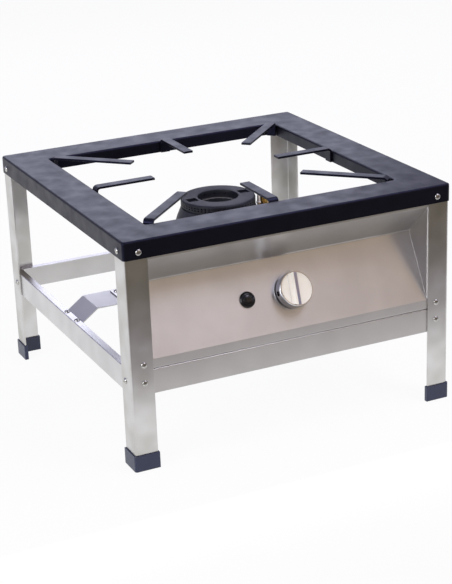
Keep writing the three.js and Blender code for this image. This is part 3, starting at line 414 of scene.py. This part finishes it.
def refine(node, finish, edge=0.4, crease=35, body="stand", grow=0.0, smoothing=0):
    # a merged copy of a CAD node with broken edges, or rounded by subdivision if it is a pipe
    builder = bmesh.new()
    builder.from_mesh(nodes[node].data)
    bmesh.ops.scale(builder, vec=(1000, 1000, 1000), verts=builder.verts)
    bmesh.ops.remove_doubles(builder, verts=builder.verts, dist=drawing["merge"])
    bmesh.ops.dissolve_limit(
        builder, angle_limit=math.radians(drawing["flat"]), verts=builder.verts, edges=builder.edges,
        use_dissolve_boundaries=False,
    )
    builder.normal_update()
    for vert in builder.verts:  # what subdivision takes off the round
        vert.co += vert.normal * grow
    piece = newPiece(node + "_fine", builder, finish, [node], body, crease=crease)
    if smoothing:
        rounder = piece.modifiers.new("rounder", "SUBSURF")
        rounder.levels = rounder.render_levels = smoothing
    elif edge:
        breakEdges(piece, edge)


# top frame: a square ring of enamelled sheet with an outer and an inner flange

topFrame = {
    "width": 600, "depth": 590, "top": 395, "face": 69, "outerFlange": 31, "innerFlange": 21.5,
    "sheet": 1.5, "fold": 3.5, "corner": 6, "innerCorner": 4,
}


def roundedLoop(builder, width, depth, height, radius):
    # the edges of a flat rectangle with round corners
    before = set(builder.edges)
    place = Matrix.Translation((0, 0, height)) @ Matrix.Diagonal((width, depth, 1, 1))
    made = bmesh.ops.create_grid(builder, x_segments=1, y_segments=1, size=0.5, matrix=place)
    roundOff(builder, made["verts"], radius, 6, "VERTICES")
    bmesh.ops.delete(builder, geom=builder.faces[:], context="FACES_ONLY")
    return [edge for edge in builder.edges if edge not in before]


def buildTopFrame():
    size = topFrame
    builder = bmesh.new()
    outer = roundedLoop(builder, size["width"], size["depth"], size["top"], size["corner"])
    openWidth, openDepth = size["width"] - 2 * size["face"], size["depth"] - 2 * size["face"]
    inner = roundedLoop(builder, openWidth, openDepth, size["top"], size["innerCorner"])
    bmesh.ops.bridge_loops(builder, edges=outer + inner)
    for loop, drop in ((outer, size["outerFlange"]), (inner, size["innerFlange"])):
        drawn = bmesh.ops.extrude_edge_only(builder, edges=loop)["geom"]
        bmesh.ops.translate(builder, vec=(0, 0, -drop), verts=vertsOf(drawn))
    bmesh.ops.recalc_face_normals(builder, faces=builder.faces)
    roundOff(builder, outer + inner, size["fold"], 4)
    skin = newPiece("topFrameSkin", builder, "frameEnamel", ["top_frame"], outward=(0, 0, 1))
    giveSheet(skin, size["sheet"])


buildTopFrame()

# pot supports: flat enamelled bars bent down at the root and welded to the inner flange

potBars = {
    "width": 18, "thickness": 4, "bend": 8, "top": 400, "bottom": 373.5, "sideArm": 110, "cornerArm": 156,
    "gap": 0.3, "edge": 0.6,
}


def buildPotBars():
    size = potBars
    openX, openY = topFrame["width"] / 2 - topFrame["face"], topFrame["depth"] / 2 - topFrame["face"]
    places = {
        "left": (-openX + size["gap"], 0, 0), "right": (openX - size["gap"], 0, 180),
        "front": (0, -openY + size["gap"], 90), "back": (0, openY - size["gap"], -90),
    }
    step = size["width"] / 2 / math.sqrt(2) + size["gap"]
    for corner, across, deep in corners:
        turn = math.degrees(math.atan2(-deep, -across))
        places[corner] = (across * (openX - step), deep * (openY - step), turn)
    for side, (x, y, turn) in places.items():
        arm = size["cornerArm" if "_" in side else "sideArm"]
        half = size["width"] / 2
        builder = foldedSkin(
            [(0, -half, size["bottom"]), (0, -half, size["top"]), (arm, -half, size["top"])],
            (0, size["width"], 0), size["bend"], 8,
        )
        place = Matrix.Translation((x, y, 0)) @ Matrix.Rotation(math.radians(turn), 4, "Z")
        bmesh.ops.transform(builder, matrix=place, verts=builder.verts)
        bar = newPiece("potBar_" + side, builder, "barEnamel", ["pot_support_" + side], outward=(0, 0, 1))
        giveSheet(bar, size["thickness"], size["edge"])


buildPotBars()

# legs: stainless angles, folded, standing in moulded feet

legs = {
    "x": 298.2, "y": 293.2, "flange": 40, "sheet": 2.5, "fold": 4, "bottom": 3.3, "top": 391.5,
    "footEdge": 0.9,
}


def buildLegs():
    size = legs
    flange, bottom = size["flange"], size["bottom"]
    for turn, (corner, across, deep) in enumerate(corners):
        builder = foldedSkin(
            [(flange, 0, bottom), (0, 0, bottom), (0, flange, bottom)], (0, 0, size["top"] - bottom),
            size["fold"],
        )
        place = Matrix.Translation((across * size["x"], deep * size["y"], 0)) @ Matrix.Rotation(
            turn * math.pi / 2, 4, "Z"
        )
        bmesh.ops.transform(builder, matrix=place, verts=builder.verts)
        leg = newPiece(
            "legAngle_" + corner, builder, "steelUpright", ["leg_" + corner], outward=(across, deep, 0)
        )
        giveSheet(leg, size["sheet"])
        refine("foot_" + corner, "footPlastic", size["footEdge"])


buildLegs()

# rails: folded angles between the legs, mitred where they meet

rails = {
    "x": 295.4, "y": 290.4, "bottom": 131, "top": 173, "flange": 13, "sheet": 1.5, "fold": 1.6,
    "mitreGap": 1,
}


def buildRails():
    size = rails
    sides = (
        ("front", size["x"], (0, -size["y"])), ("right", size["y"], (size["x"], 0)),
        ("back", size["x"], (0, size["y"])), ("left", size["y"], (-size["x"], 0)),
    )
    for turn, (side, half, (x, y)) in enumerate(sides):
        builder = foldedSkin(
            [(-half, 0, size["bottom"]), (-half, 0, size["top"]), (-half, size["flange"], size["top"])],
            (2 * half, 0, 0), size["fold"],
        )
        tip = half - size["mitreGap"] * math.sqrt(2)
        for end in (-1, 1):
            cutAcross(builder, builder.faces[:], (end * tip, 0, 0), (end, 1, 0), clear_outer=True)
        quarter = Matrix.Rotation(turn * math.pi / 2, 4, "Z")
        bmesh.ops.transform(
            builder, matrix=Matrix.Translation((x, y, 0)) @ quarter, verts=builder.verts
        )
        finish = "steelAlongX" if side in ("front", "back") else "steelAlongY"
        outward = quarter @ Vector((0, -1, 0))
        rail = newPiece("railAngle_" + side, builder, finish, ["rail_" + side], outward=outward)
        giveSheet(rail, size["sheet"])


buildRails()

# control panel: one sheet with a V-shaped recess pressed back between the legs

panel = {
    "half": 291.9, "front": -290.4, "tabTop": 388, "recessTop": 359, "crease": 301, "lipTop": 190.5,
    "lipBottom": 174, "return": 11, "recessHalf": 257.9, "depth": 60, "sheet": 1.5, "fold": 1.6,
    "sharpFold": 0.9,  # folds of more than this angle, in radians, are rounded
    "holes": ((-72, 10.8), (11, 5.3)),  # place along the slope and radius: igniter, spindle
}
slopeRise = panel["crease"] - panel["lipTop"]
slopeTilt = math.atan2(panel["depth"], slopeRise)
slopeUp = Vector((0, math.sin(slopeTilt), math.cos(slopeTilt)))
slopeOut = Vector((0, -math.cos(slopeTilt), math.sin(slopeTilt)))
slopeMiddle = Vector((0, panel["front"] + panel["depth"] / 2, (panel["lipTop"] + panel["crease"]) / 2))
controlsPlace = Matrix.Translation(slopeMiddle) @ Matrix.Rotation(math.pi / 2 - slopeTilt, 4, "X")


def faceNearest(builder, place):
    return min(builder.faces, key=lambda face: (face.calc_center_median() - place).length)


def buildPanel():
    size = panel
    front, half = size["front"], size["half"]
    builder = foldedSkin(
        [(-half, front, size["tabTop"]), (-half, front, size["lipBottom"]),
         (-half, front + size["return"], size["lipBottom"])],
        (2 * half, 0, 0), size["fold"], 3,
    )
    for point, normal in (
        ((0, 0, size["recessTop"]), (0, 0, 1)), ((0, 0, size["lipTop"]), (0, 0, 1)),
        ((-size["recessHalf"], 0, 0), (1, 0, 0)), ((size["recessHalf"], 0, 0), (1, 0, 0)),
    ):
        cutAcross(builder, builder.faces[:], point, normal)
    recess = Vector((0, front, (size["recessTop"] + size["lipTop"]) / 2))
    deep = drawOut(builder, [faceNearest(builder, recess)], (0, size["depth"], 0))
    bmesh.ops.scale(builder, vec=(1, 1, 0), space=Matrix.Translation((0, 0, -size["crease"])), verts=deep)
    bmesh.ops.remove_doubles(builder, verts=builder.verts, dist=drawing["near"])
    for along, radius in size["holes"]:  # a square hole, its corners cut to an octagon, behind knob and bezel
        middle = slopeMiddle + Vector((along, 0, 0))
        for direction in (Vector((1, 0, 0)), slopeUp):
            for side in (-radius, radius):
                slope = [
                    face for face in builder.faces
                    if abs((face.calc_center_median() - slopeMiddle).dot(slopeOut)) < drawing["near"]
                ]
                cutAcross(builder, slope, middle + side * direction, direction)
        plug = faceNearest(builder, middle)
        roundOff(builder, list(plug.verts), radius * (2 - math.sqrt(2)), 1, "VERTICES")
        bmesh.ops.delete(builder, geom=[faceNearest(builder, middle)], context="FACES_ONLY")
    builder.normal_update()
    bmesh.ops.recalc_face_normals(builder, faces=builder.faces)
    folds = [
        edge for edge in builder.edges
        if len(edge.link_faces) == 2 and edge.calc_face_angle() > size["sharpFold"]
        and abs(edge.verts[0].co.y - edge.verts[1].co.y) < drawing["near"]
    ]
    roundOff(builder, folds, size["fold"], 3)
    sheet = newPiece(
        "controlPanelSheet", builder, "steelAlongX", ["control_panel"], outward=slopeOut, crease=25
    )
    giveSheet(sheet, size["sheet"])


buildPanel()

# bridge under the burner: a strap joggled up from the side rails

bridge = {"half": 36, "sheet": 2, "fold": 3, "line": ((292.1, 171.2), (282.1, 171.2), (252.1, 193))}


def buildBridge():
    size = bridge
    right = [(x, -size["half"], z) for x, z in size["line"]]
    left = [(-x, y, z) for x, y, z in reversed(right)]
    builder = foldedSkin(right + left, (0, 2 * size["half"], 0), size["fold"])
    strap = newPiece(
        "burnerBridgeStrap", builder, "steelAlongX", ["burner_bridge"], outward=(0, 0, 1)
    )
    giveSheet(strap, size["sheet"], 0.4)
    refine("injector_bracket", "steelAlongY", 0.5)


buildBridge()
print("stage: frame, legs, rails and panel built")

# burner cap: a cast ring with two rows of ports and two finger pockets

burnerCap = {
    "centre": 2.5, "outer": 67, "top": 345, "flatEdge": 63, "skirtTop": 341, "skirtBottom": 331.5,
    "hole": 36.5, "holeEdge": 1.2, "wall": 4.5, "under": 341,
    "ports": 60, "portRadius": 1.55, "portDepth": 4.3, "portRows": (338.8, 334.6),
    "innerRow": 338.5, "innerDepth": 3.2, "innerEvery": 5,
    "pocketRadius": 50.5, "pocketLength": 19, "pocketWidth": 18, "pocketDepth": 8,
}


def buildCap():
    size, near = burnerCap, drawing["near"]
    outer, top, flat, hole = size["outer"], size["top"], size["flatEdge"], size["hole"]
    bottom, under, edge = size["skirtBottom"], size["under"], size["holeEdge"]
    rim = outer - flat
    drop = top - size["skirtTop"]
    hub, inside = hole + size["wall"], outer - size["wall"]
    curve = [
        (flat + rim * math.sin(math.radians(a)), top - drop * (1 - math.cos(math.radians(a))))
        for a in (0, 18, 36, 54, 72, 90)
    ]
    profile = [
        (hole, bottom), (hole, size["innerRow"]), (hole, top - edge), (hole + edge / 3, top - edge / 3),
        (hole + edge, top), *curve, *((outer, row) for row in size["portRows"]), (outer, bottom),
        (inside, bottom), (inside, under), (hub, under), (hub, bottom), (hole, bottom),
    ]
    builder = turnedSkin(profile, size["ports"] * 2)
    length, width = size["pocketLength"] / 2, size["pocketWidth"] / 2

    def topFaces(side):  # the flat top's, on one side of the hole
        return [
            face for face in builder.faces
            if abs(face.calc_center_median().z - top) < near and face.calc_center_median().x * side > 0
        ]

    for side in (-1, 1):  # finger pockets: a rectangle cut in the flat top and sunk
        middle = Vector((side * size["pocketRadius"], 0, top))
        for direction, reach in ((Vector((1, 0, 0)), length), (Vector((0, 1, 0)), width)):
            for end in (-reach, reach):
                cutAcross(builder, topFaces(side), middle + end * direction, direction)
        floor = [
            face for face in topFaces(side)
            if abs(face.calc_center_median().x - middle.x) < length
            and abs(face.calc_center_median().y) < width
        ]
        drawOut(builder, floor, (0, 0, -size["pocketDepth"]))

    def wallPoints(radius, rows, every):  # of a turned wall, at the odd multiples of so many turned steps
        return [
            vert for vert in builder.verts
            if abs(math.hypot(vert.co.x, vert.co.y) - radius) < near
            and min(abs(vert.co.z - row) for row in rows) < near
            and round(math.atan2(vert.co.y, vert.co.x) * size["ports"] / math.pi) % (2 * every) == every
        ]

    outerPorts = wallPoints(outer, size["portRows"], 1)
    innerPorts = wallPoints(hole, [size["innerRow"]], size["innerEvery"])
    drillRound(builder, outerPorts, size["portRadius"], size["portDepth"])
    drillRound(builder, innerPorts, size["portRadius"], -size["innerDepth"])
    bmesh.ops.translate(builder, vec=(size["centre"], 0, 0), verts=builder.verts)
    newPiece("burnerCapCasting", builder, "capIron", ["burner_cap"], "cap", crease=32)


buildCap()
refine("burner_body", "bodyIron", 0.8)
refine("air_shutter", "aluminium", 0.4, body="shutter")
refine("injector", "brass", 0.4)
print("stage: burner built")

# knob: a plated drum with two D-shaped faces either side of a waisted grip

knob = {
    "along": 11, "turned": -5.5, "back": 3.8, "radius": 31, "steps": 36, "backEdge": 0.6,
    "face": 21.4, "faceRadius": 29.2, "dRadius": 27.8, "dDepth": 1.2,
    "draft": ((0.6, 4), (1.1, 1.4), (1.6, 0.4)),  # how the drum narrows: inset and depth below its face
    "faceWall": 4, "skirtWall": (2, 3.5), "hub": 7, "hubSet": 1, "bore": 3.3, "boreTop": 17,
    "gripPlace": -4.5, "gripHalf": 8.5, "ridgeHalf": 2.4, "ridgeRise": 3.5, "shoulderHalf": 5.2,
    "shoulderRise": 0.9, "stations": (-20, -13, -6, 0, 6, 13, 20), "waist": 0.5,
    "screwAngle": 183, "screwHeight": 11, "screwRadius": 4.8, "screwDepth": 5, "screwInset": 0.2,
    "nub": (3.4, 2.2, 3.4), "nubSunk": 1.2,
}


def buildKnob():
    size = knob
    back, face, radius = size["back"], size["face"], size["radius"]
    near, close = drawing["near"], 0.1
    hubBack, faceBack = back + size["hubSet"], face - size["faceWall"]
    skirtAtBack, skirtAtFace = size["skirtWall"]
    profile = [
        (0, size["boreTop"]), (size["bore"], size["boreTop"]), (size["bore"], hubBack),
        (size["hub"], hubBack), (size["hub"], faceBack),
        (radius - skirtAtFace, faceBack), (radius - skirtAtBack, back),
        (radius - size["backEdge"], back), (radius, back + size["backEdge"]),
        (radius - size["screwInset"], size["screwHeight"]),
        *((radius - inset, face - depth) for inset, depth in size["draft"]),
        (size["faceRadius"], face), (size["dRadius"], face),
    ]
    builder = turnedSkin(profile, size["steps"])
    start = size["screwAngle"] - size["turned"]
    turn = Matrix.Rotation(math.radians(start % (360 / size["steps"])), 3, "Z")
    bmesh.ops.rotate(builder, matrix=turn, verts=builder.verts)
    edge = [
        line for line in builder.edges
        if len(line.link_faces) == 1 and all(abs(vert.co.z - face) < near for vert in line.verts)
    ]
    bmesh.ops.edgeloop_fill(builder, edges=edge)
    middle, gripHalf = size["gripPlace"], size["gripHalf"]

    def onFace(vert):
        return abs(vert.co.z - face) < near and math.hypot(*vert.co.xy) < size["dRadius"] + close

    def faceParts(grip=None):  # parts of the front disc: all, or those on the grip, or those beside it
        parts = [part for part in builder.faces if all(onFace(vert) for vert in part.verts)]
        if grip is None:
            return parts
        return [part for part in parts if (abs(part.calc_center_median().x - middle) < gripHalf) == grip]

    for reach in (gripHalf, size["shoulderHalf"], size["ridgeHalf"]):
        for side in (-1, 1):
            cutAcross(builder, faceParts(), (middle + side * reach, 0, 0), (1, 0, 0))
    for y in size["stations"]:
        cutAcross(builder, faceParts(True), (0, y, 0), (0, 1, 0))
    halves = faceParts(False)
    for vert in drawOut(builder, faceParts(True)):
        reach = abs(vert.co.x - middle)
        if reach < gripHalf - close:
            vert.co.z += size["ridgeRise"] if reach < size["ridgeHalf"] + close else size["shoulderRise"]
            upper = min(max((vert.co.y + radius) / (2 * radius), 0), 1)
            vert.co.x = middle + (vert.co.x - middle) * (1 - (1 - size["waist"]) * upper ** 0.7)
    bmesh.ops.remove_doubles(builder, verts=builder.verts, dist=near)
    drawOut(builder, [part for part in halves if part.is_valid], (0, 0, -size["dDepth"]))
    side = radius * (Matrix.Rotation(math.radians(start), 3, "Z") @ Vector((1, 0, 0)))
    side.z = size["screwHeight"]
    nearest = min(builder.verts, key=lambda vert: (vert.co - side).length)
    drillRound(builder, [nearest], size["screwRadius"], size["screwDepth"])
    place = controlsPlace @ Matrix.Translation((size["along"], 0, 0)) @ Matrix.Rotation(
        math.radians(size["turned"]), 4, "Z"
    )
    bmesh.ops.transform(builder, matrix=place, verts=builder.verts)
    drum = newPiece("knobDrum", builder, "chrome", ["control_knob"], "knob", crease=40)
    lacquerAndLitFlank, paintedShadeFlank, dark = 1, 2, 3  # the drum's coats after its chrome: cream lacquer that is also a painted highlight on the grip, painted shade for the grip's right flank, and black
    for finish in ("creamFacesAndLitFlank", "gripPaintedShadeFlank", "igniterPlastic"):
        drum.data.materials.append(finishes[finish][0])
    for polygon in drum.data.polygons:  # sunk faces lacquered cream; the grip's top and left flank take the same cream as a painted highlight, its right flank a darker satin metal as painted shade
        local = place.inverted() @ (polygon.center * 1000)
        normal = place.to_3x3().inverted() @ polygon.normal
        sunkFace = abs(local.z - (face - size["dDepth"])) < close and abs(local.x - middle) > gripHalf
        onGrip = local.z > face + 2 * close
        inHole = abs(local.z - size["screwHeight"]) < size["screwRadius"] + close
        inHole = inHole and math.hypot(*local.xy) < radius - 0.9
        if sunkFace or onGrip and normal.x < 0.1 and normal.z > 0.3:
            polygon.material_index = lacquerAndLitFlank
        elif onGrip and normal.x > 0.1:
            polygon.material_index = paintedShadeFlank
        elif inHole and math.hypot(*(local.xy - side.xy)) < size["screwDepth"] + 2:
            polygon.material_index = dark
    breakEdges(drum, 0.2)
    wide, deep, tall = size["nub"]
    builder = bmesh.new()
    bmesh.ops.create_cube(
        builder, size=1,
        matrix=place @ Matrix.Translation((0, radius + (deep - size["nubSunk"]) / 2, back + tall / 2))
        @ Matrix.Diagonal((wide, deep + size["nubSunk"], tall, 1)),
    )
    breakEdges(newPiece("knobNub", builder, "chrome", body="knob"), 0.4)


buildKnob()

# igniter: a black bezel with a domed button, held by a nut behind the panel

igniter = {
    "along": -72, "bezel": 14, "barrel": 10.5, "bore": 8.8, "boreDepth": -11, "tail": (-30, -24),
    "nut": (-6.8, -1.8), "flange": 0.3,
    "bezelRound": ((0, 0.9), (0.2, 1.7), (0.8, 2.6), (1.8, 3.4), (3.2, 4.15), (4.4, 4.6)),  # inset, height
    "bezelTop": 4.75, "button": 8.6, "buttonFoot": -6, "rise": 6.5,
    "buttonRound": ((0, 4.7), (0.3, 5.0), (1.2, 5.35), (3, 5.85), (5.6, 6.3)),
    "steps": 56,
}


def buildIgniter():
    size = igniter
    place = controlsPlace @ Matrix.Translation((size["along"], 0, 0))
    barrel, bezel, bore, button = size["barrel"], size["bezel"], size["bore"], size["button"]
    (end, shoulder), (nutBack, nutFront) = size["tail"], size["nut"]
    body = turnedSkin([
        (0, end), (barrel * 0.6, end), (barrel, shoulder), (barrel, nutBack), (bezel, nutBack),
        (bezel, nutFront), (barrel, nutFront), (barrel, size["flange"]), (bezel, size["flange"]),
        *((bezel - inset, height) for inset, height in size["bezelRound"]),
        (bore, size["bezelTop"]), (bore, size["boreDepth"]), (0, size["boreDepth"]),
    ], size["steps"])
    bmesh.ops.transform(body, matrix=place, verts=body.verts)
    breakEdges(newPiece("igniterBezel", body, "igniterPlastic", ["igniter_body"]), 0.25)
    dome = turnedSkin([
        (0, size["buttonFoot"]), (button, size["buttonFoot"]),
        *((button - inset, height) for inset, height in size["buttonRound"]), (0, size["rise"]),
    ], size["steps"])
    bmesh.ops.transform(dome, matrix=place, verts=dome.verts)
    newPiece("igniterButtonDome", dome, "igniterPlastic", ["igniter_button"], "igniter_plunger", crease=50)


buildIgniter()

# screws: pan heads with a cross recess

screws = {
    "radius": 5.4, "rise": 2.6, "recess": 2.7, "recessDepth": 1.5, "slotCore": 0.9, "steps": 16,
    "recessFall": 0.15, "dome": ((0.72, 0.5), (0.92, 1.2), (1, 2.2)),  # share of radius, fall from top
    "frameHeight": 375.5, "frameX": 274, "frameY": 270, "legX": 274.5, "legHeights": (184, 152.5),
    "sideY": 268, "sideHeight": 153, "bridge": (287.2, 24), "bracket": (-194.5, 19, 195.3),
}


def crossHeadScrew(name, point, outward):
    size = screws
    radius, rise = size["radius"], size["rise"]
    profile = [
        (0, rise), (size["slotCore"], rise), (size["recess"], rise - size["recessFall"]),
        *((radius * share, rise - fall) for share, fall in size["dome"]), (radius, 0), (0, 0),
    ]
    builder = turnedSkin(profile, size["steps"])
    slots = []
    for face in builder.faces:
        middle = face.calc_center_median()
        if middle.z > rise - size["recessFall"] and math.hypot(*middle.xy) < size["recess"]:
            sector = int(math.degrees(math.atan2(middle.y, middle.x)) % 360 // (360 / size["steps"]))
            if math.hypot(*middle.xy) < size["slotCore"] or sector % 4 == 0:
                slots.append(face)
    drawOut(builder, slots, (0, 0, -size["recessDepth"]))
    turn = Vector((0, 0, 1)).rotation_difference(Vector(outward)).to_matrix().to_4x4()
    bmesh.ops.transform(builder, matrix=Matrix.Translation(point) @ turn, verts=builder.verts)
    newPiece(name, builder, "screwSteel")


def addScrews():
    size = screws
    frameSide, frameFront = topFrame["width"] / 2, topFrame["depth"] / 2
    (bridgeX, bridgeY), (bracketX, bracketY, bracketTop) = size["bridge"], size["bracket"]
    places = []
    for x in (-1, 1):
        for y in (-1, 1):
            places.append(((x * size["frameX"], y * frameFront, size["frameHeight"]), (0, y, 0)))
            places.append(((x * frameSide, y * size["frameY"], size["frameHeight"]), (x, 0, 0)))
            places.append(((x * legs["x"], y * size["sideY"], size["sideHeight"]), (x, 0, 0)))
            places.append(((x * bridgeX, y * bridgeY, rails["top"]), (0, 0, 1)))
        for height in size["legHeights"]:
            places.append(((x * size["legX"], -legs["y"], height), (0, -1, 0)))
        places.append(((x * size["legX"], legs["y"], size["legHeights"][1]), (0, 1, 0)))
        places.append(((bracketX, x * bracketY, bracketTop), (0, 0, 1)))
    for count, (point, outward) in enumerate(places):
        crossHeadScrew("screw_%02d" % count, point, outward)


addScrews()

# gas train and pilot group: the CAD forms with rounder edges

for node, finish, edge, crease, body in (
    ("gas_valve_body", "brass", 0.5, 35, "stand"), ("valve_thrust_sleeve", "brass", 0.2, 35, "thrust_sleeve"),
    ("valve_spindle", "brass", 0.2, 35, "knob"), ("gas_inlet_pipe", "zinc", 0.4, 40, "stand"),
    ("inlet_clip", "steelAlongX", 0.4, 35, "stand"), ("pilot_burner", "brass", 0.3, 35, "stand"),
    ("ignition_electrode", "ceramic", 0.2, 40, "stand"), ("thermocouple", "brass", 0, 65, "stand"),
):
    refine(node, finish, edge, crease, body)
for node, finish, grow in (
    ("burner_feed_pipe", "aluminium", 0.45), ("pilot_pipe", "aluminium", 0.42),
    ("ignition_cable", "cable", 0.36),
):
    refine(node, finish, crease=65, grow=grow, smoothing=2)
print("stage: gas train and pilot group built")

nodeFinish = {
    "top_frame": "frameEnamel", "pot_support": "barEnamel", "leg": "steelUpright", "foot": "footPlastic",
    "rail": "steelAlongX", "control_panel": "steelAlongX", "burner_bridge": "steelAlongX",
    "injector_bracket": "steelAlongY", "burner_body": "bodyIron", "burner_cap": "capIron",
    "air_shutter": "aluminium", "injector": "brass", "gas_valve_body": "brass", "valve": "brass",
    "control_knob": "chrome", "igniter": "igniterPlastic", "gas_inlet_pipe": "zinc",
    "inlet_clip": "steelAlongX",
    "burner_feed_pipe": "aluminium", "pilot_burner": "brass", "pilot_pipe": "aluminium",
    "ignition_electrode": "ceramic", "thermocouple": "brass", "ignition_cable": "cable",
}
for name, node in nodes.items():  # the hidden CAD nodes carry the same finishes
    found = max((key for key in nodeFinish if name.startswith(key)), key=len)
    node.data.materials.clear()
    node.data.materials.append(finishes[nodeFinish[found]][0])

# stage, lights and camera

studio = {
    "worldTone": "b0b0c8",  # what the world lights with; the camera sees it white
    "floorHalf": 12, "floorTone": "f0f0f0", "floorGlow": 0.93,
    "left": -4, "right": 5,  # of the two cards in front, which light and are mirrored but aren't seen
    "wallPlace": -3.6, "wallHeight": 3.4,
    # wall behind the camera, by height: dark at the foot, pinkish in the middle, golden above
    "frontWall": [
        (0.0, "6b6358"), (0.25, "756c62"), (0.35, "aca0a0"), (0.6, "b4a8a9"), (0.8, "75684f"),
        (1.0, "6e5f42"),
    ],
    "cardEdge": -0.45, "cardLift": 0.002, "cardSpan": (-0.5, -2.2),
    # floor in front, from near to far along its span, mirrored by legs and rails
    "frontFloor": [
        (0.0, "ffffff"), (0.08, "bab4b8"), (0.17, "999396"), (0.26, "6c655c"), (0.5, "665e4b"),
        (0.8, "7d7569"),
    ],
}
lamps = {  # place, the point that it faces, size, watts, tone, and whether metal mirrors it
    "keyLamp": ((-2.7, -1.1, 1.3), (0, 0, 0.2), (1.8, 1.4), 38, "ffffff", True),
    "backLamp": ((0.8, 2.9, 1.7), (0, 0, 0.3), (2.4, 1.4), 20, "eef0ff", True),
    "fillLamp": ((1.6, -2.4, 1.9), (0, 0, 0.2), (1.2, 1.2), 20, "fff4e6", False),
    "slopeLamp": ((1.3, -2.1, 1.62), (0.01, -0.26, 0.25), (2.4, 2.1), 4.5, "ffdeae", True),
    "aboveLamp": ((1.0, -0.8, 2.5), (0.01, -0.26, 0.25), (1.9, 0.9), 23, "eeecff", True),
}


def stagePlane(name, corners, material, seenByCamera=True):
    builder = bmesh.new()
    builder.faces.new([builder.verts.new(corner) for corner in corners])
    mesh = bpy.data.meshes.new(name)
    builder.to_mesh(mesh)
    builder.free()
    mesh.materials.append(material)
    plane = bpy.data.objects.new(name, mesh)
    bpy.context.scene.collection.objects.link(plane)
    plane.visible_camera = seenByCamera
    plane.visible_shadow = seenByCamera


def glowMaterial(name, axis, low, high, stops):
    # a card that lights and is mirrored but isn't seen: its tone changes along one axis of the room
    material, tree = emptyMaterial(name)
    where = addNode(tree, "TexCoord").outputs["Object"]
    along = addNode(tree, "SeparateXYZ", links={"Vector": where}).outputs[axis]
    share = addNode(tree, "MapRange", {"From Min": low, "From Max": high}, {"Value": along})
    colour = addNode(tree, "ValToRGB", links={"Fac": share}, stops=stops)
    glow = addNode(tree, "Emission", {"Strength": 1.0}, {"Color": colour})
    addNode(tree, "OutputMaterial", links={"Surface": glow})
    return material


def seenDirectly(tree):  # 1 for rays from the camera, from a mirror or through glass
    rays = addNode(tree, "LightPath")
    pair = addNode(
        tree, "Math", links={0: rays.outputs["Is Camera Ray"], 1: rays.outputs["Is Glossy Ray"]},
        operation="MAXIMUM",
    )
    return addNode(
        tree, "Math", links={0: pair, 1: rays.outputs["Is Transmission Ray"]}, operation="MAXIMUM"
    )


def floorMaterial():  # matt white paper that shows as white and keeps a soft shadow
    material, tree = emptyMaterial("paleFloor")
    share = addNode(tree, "Math", {1: studio["floorGlow"]}, {0: seenDirectly(tree)}, operation="MULTIPLY")
    paper = addNode(tree, "BsdfDiffuse", {"Color": linear(studio["floorTone"])})
    glow = addNode(tree, "Emission", {"Color": linear("ffffff"), "Strength": 1.0})
    mixed = addNode(tree, "MixShader", links={0: share, 1: paper, 2: glow})
    addNode(tree, "OutputMaterial", links={"Surface": mixed})
    return material


def buildRoom():
    size = studio
    half, left, right, lift = size["floorHalf"], size["left"], size["right"], size["cardLift"]
    wall, edge, height = size["wallPlace"], size["cardEdge"], size["wallHeight"]
    stagePlane(
        "floor", [(-half, -half, 0), (half, -half, 0), (half, half, 0), (-half, half, 0)], floorMaterial()
    )
    stagePlane(
        "frontWall", [(left, wall, 0), (right, wall, 0), (right, wall, height), (left, wall, height)],
        glowMaterial("warmWall", "Z", 0, height, size["frontWall"]), seenByCamera=False,
    )
    stagePlane(
        "frontFloor", [(left, wall, lift), (right, wall, lift), (right, edge, lift), (left, edge, lift)],
        glowMaterial("darkFrontFloor", "Y", *size["cardSpan"], size["frontFloor"]), seenByCamera=False,
    )


def lightWorld():
    world = bpy.data.worlds.new("studio")
    bpy.context.scene.world = world
    world.use_nodes = True
    tree = world.node_tree
    tree.nodes.clear()
    seen = addNode(tree, "LightPath").outputs["Is Camera Ray"]
    tone = addNode(
        tree, "Mix", {6: linear(studio["worldTone"]), 7: linear("ffffff")}, {0: seen}, data_type="RGBA"
    )
    sky = addNode(tree, "Background", {"Strength": 1.0}, {"Color": tone.outputs[2]})
    addNode(tree, "OutputWorld", links={"Surface": sky})


def softLamp(name, place, target, size, watts, code, mirrored):
    lamp = bpy.data.lights.new(name, "AREA")
    lamp.shape = "RECTANGLE"
    lamp.size, lamp.size_y = size
    lamp.energy = watts
    lamp.color = linear(code)[:3]
    holder = bpy.data.objects.new(name, lamp)
    bpy.context.scene.collection.objects.link(holder)
    holder.location = place
    holder.rotation_euler = (Vector(target) - Vector(place)).to_track_quat("-Z", "Y").to_euler()
    holder.visible_glossy = mirrored


buildRoom()
lightWorld()
for name, values in lamps.items():
    softLamp(name, *values)

# the camera stands where the photograph was taken from, found from the frame's and legs' edges
photoCamera = {
    "place": (-1.15565, -2.50292, 1.19229), "azimuth": -24.996, "elevation": 20.505, "roll": -2.150,
    "focalPixels": 1614.9, "longSide": 584, "sensor": 36, "clip": (0.05, 60),
}


def placeCamera():
    camera = bpy.data.objects.new("photoCamera", bpy.data.cameras.new("photoCamera"))
    bpy.context.scene.collection.objects.link(camera)
    turn, rise, roll = (math.radians(photoCamera[key]) for key in ("azimuth", "elevation", "roll"))
    ahead = Vector((-math.sin(turn) * math.cos(rise), math.cos(turn) * math.cos(rise), -math.sin(rise)))
    level = ahead.cross(Vector((0, 0, 1))).normalized()
    upright = level.cross(ahead)
    right = math.cos(roll) * level + math.sin(roll) * upright
    up = -math.sin(roll) * level + math.cos(roll) * upright
    camera.matrix_world = Matrix.Translation(photoCamera["place"]) @ Matrix(
        (right, up, -ahead)
    ).transposed().to_4x4()
    camera.data.sensor_width = photoCamera["sensor"]
    camera.data.lens = photoCamera["focalPixels"] * photoCamera["sensor"] / photoCamera["longSide"]
    camera.data.clip_start, camera.data.clip_end = photoCamera["clip"]
    bpy.context.scene.camera = camera


placeCamera()
bpy.context.scene.view_settings.view_transform = "Standard"
print("stage: camera and lights set")
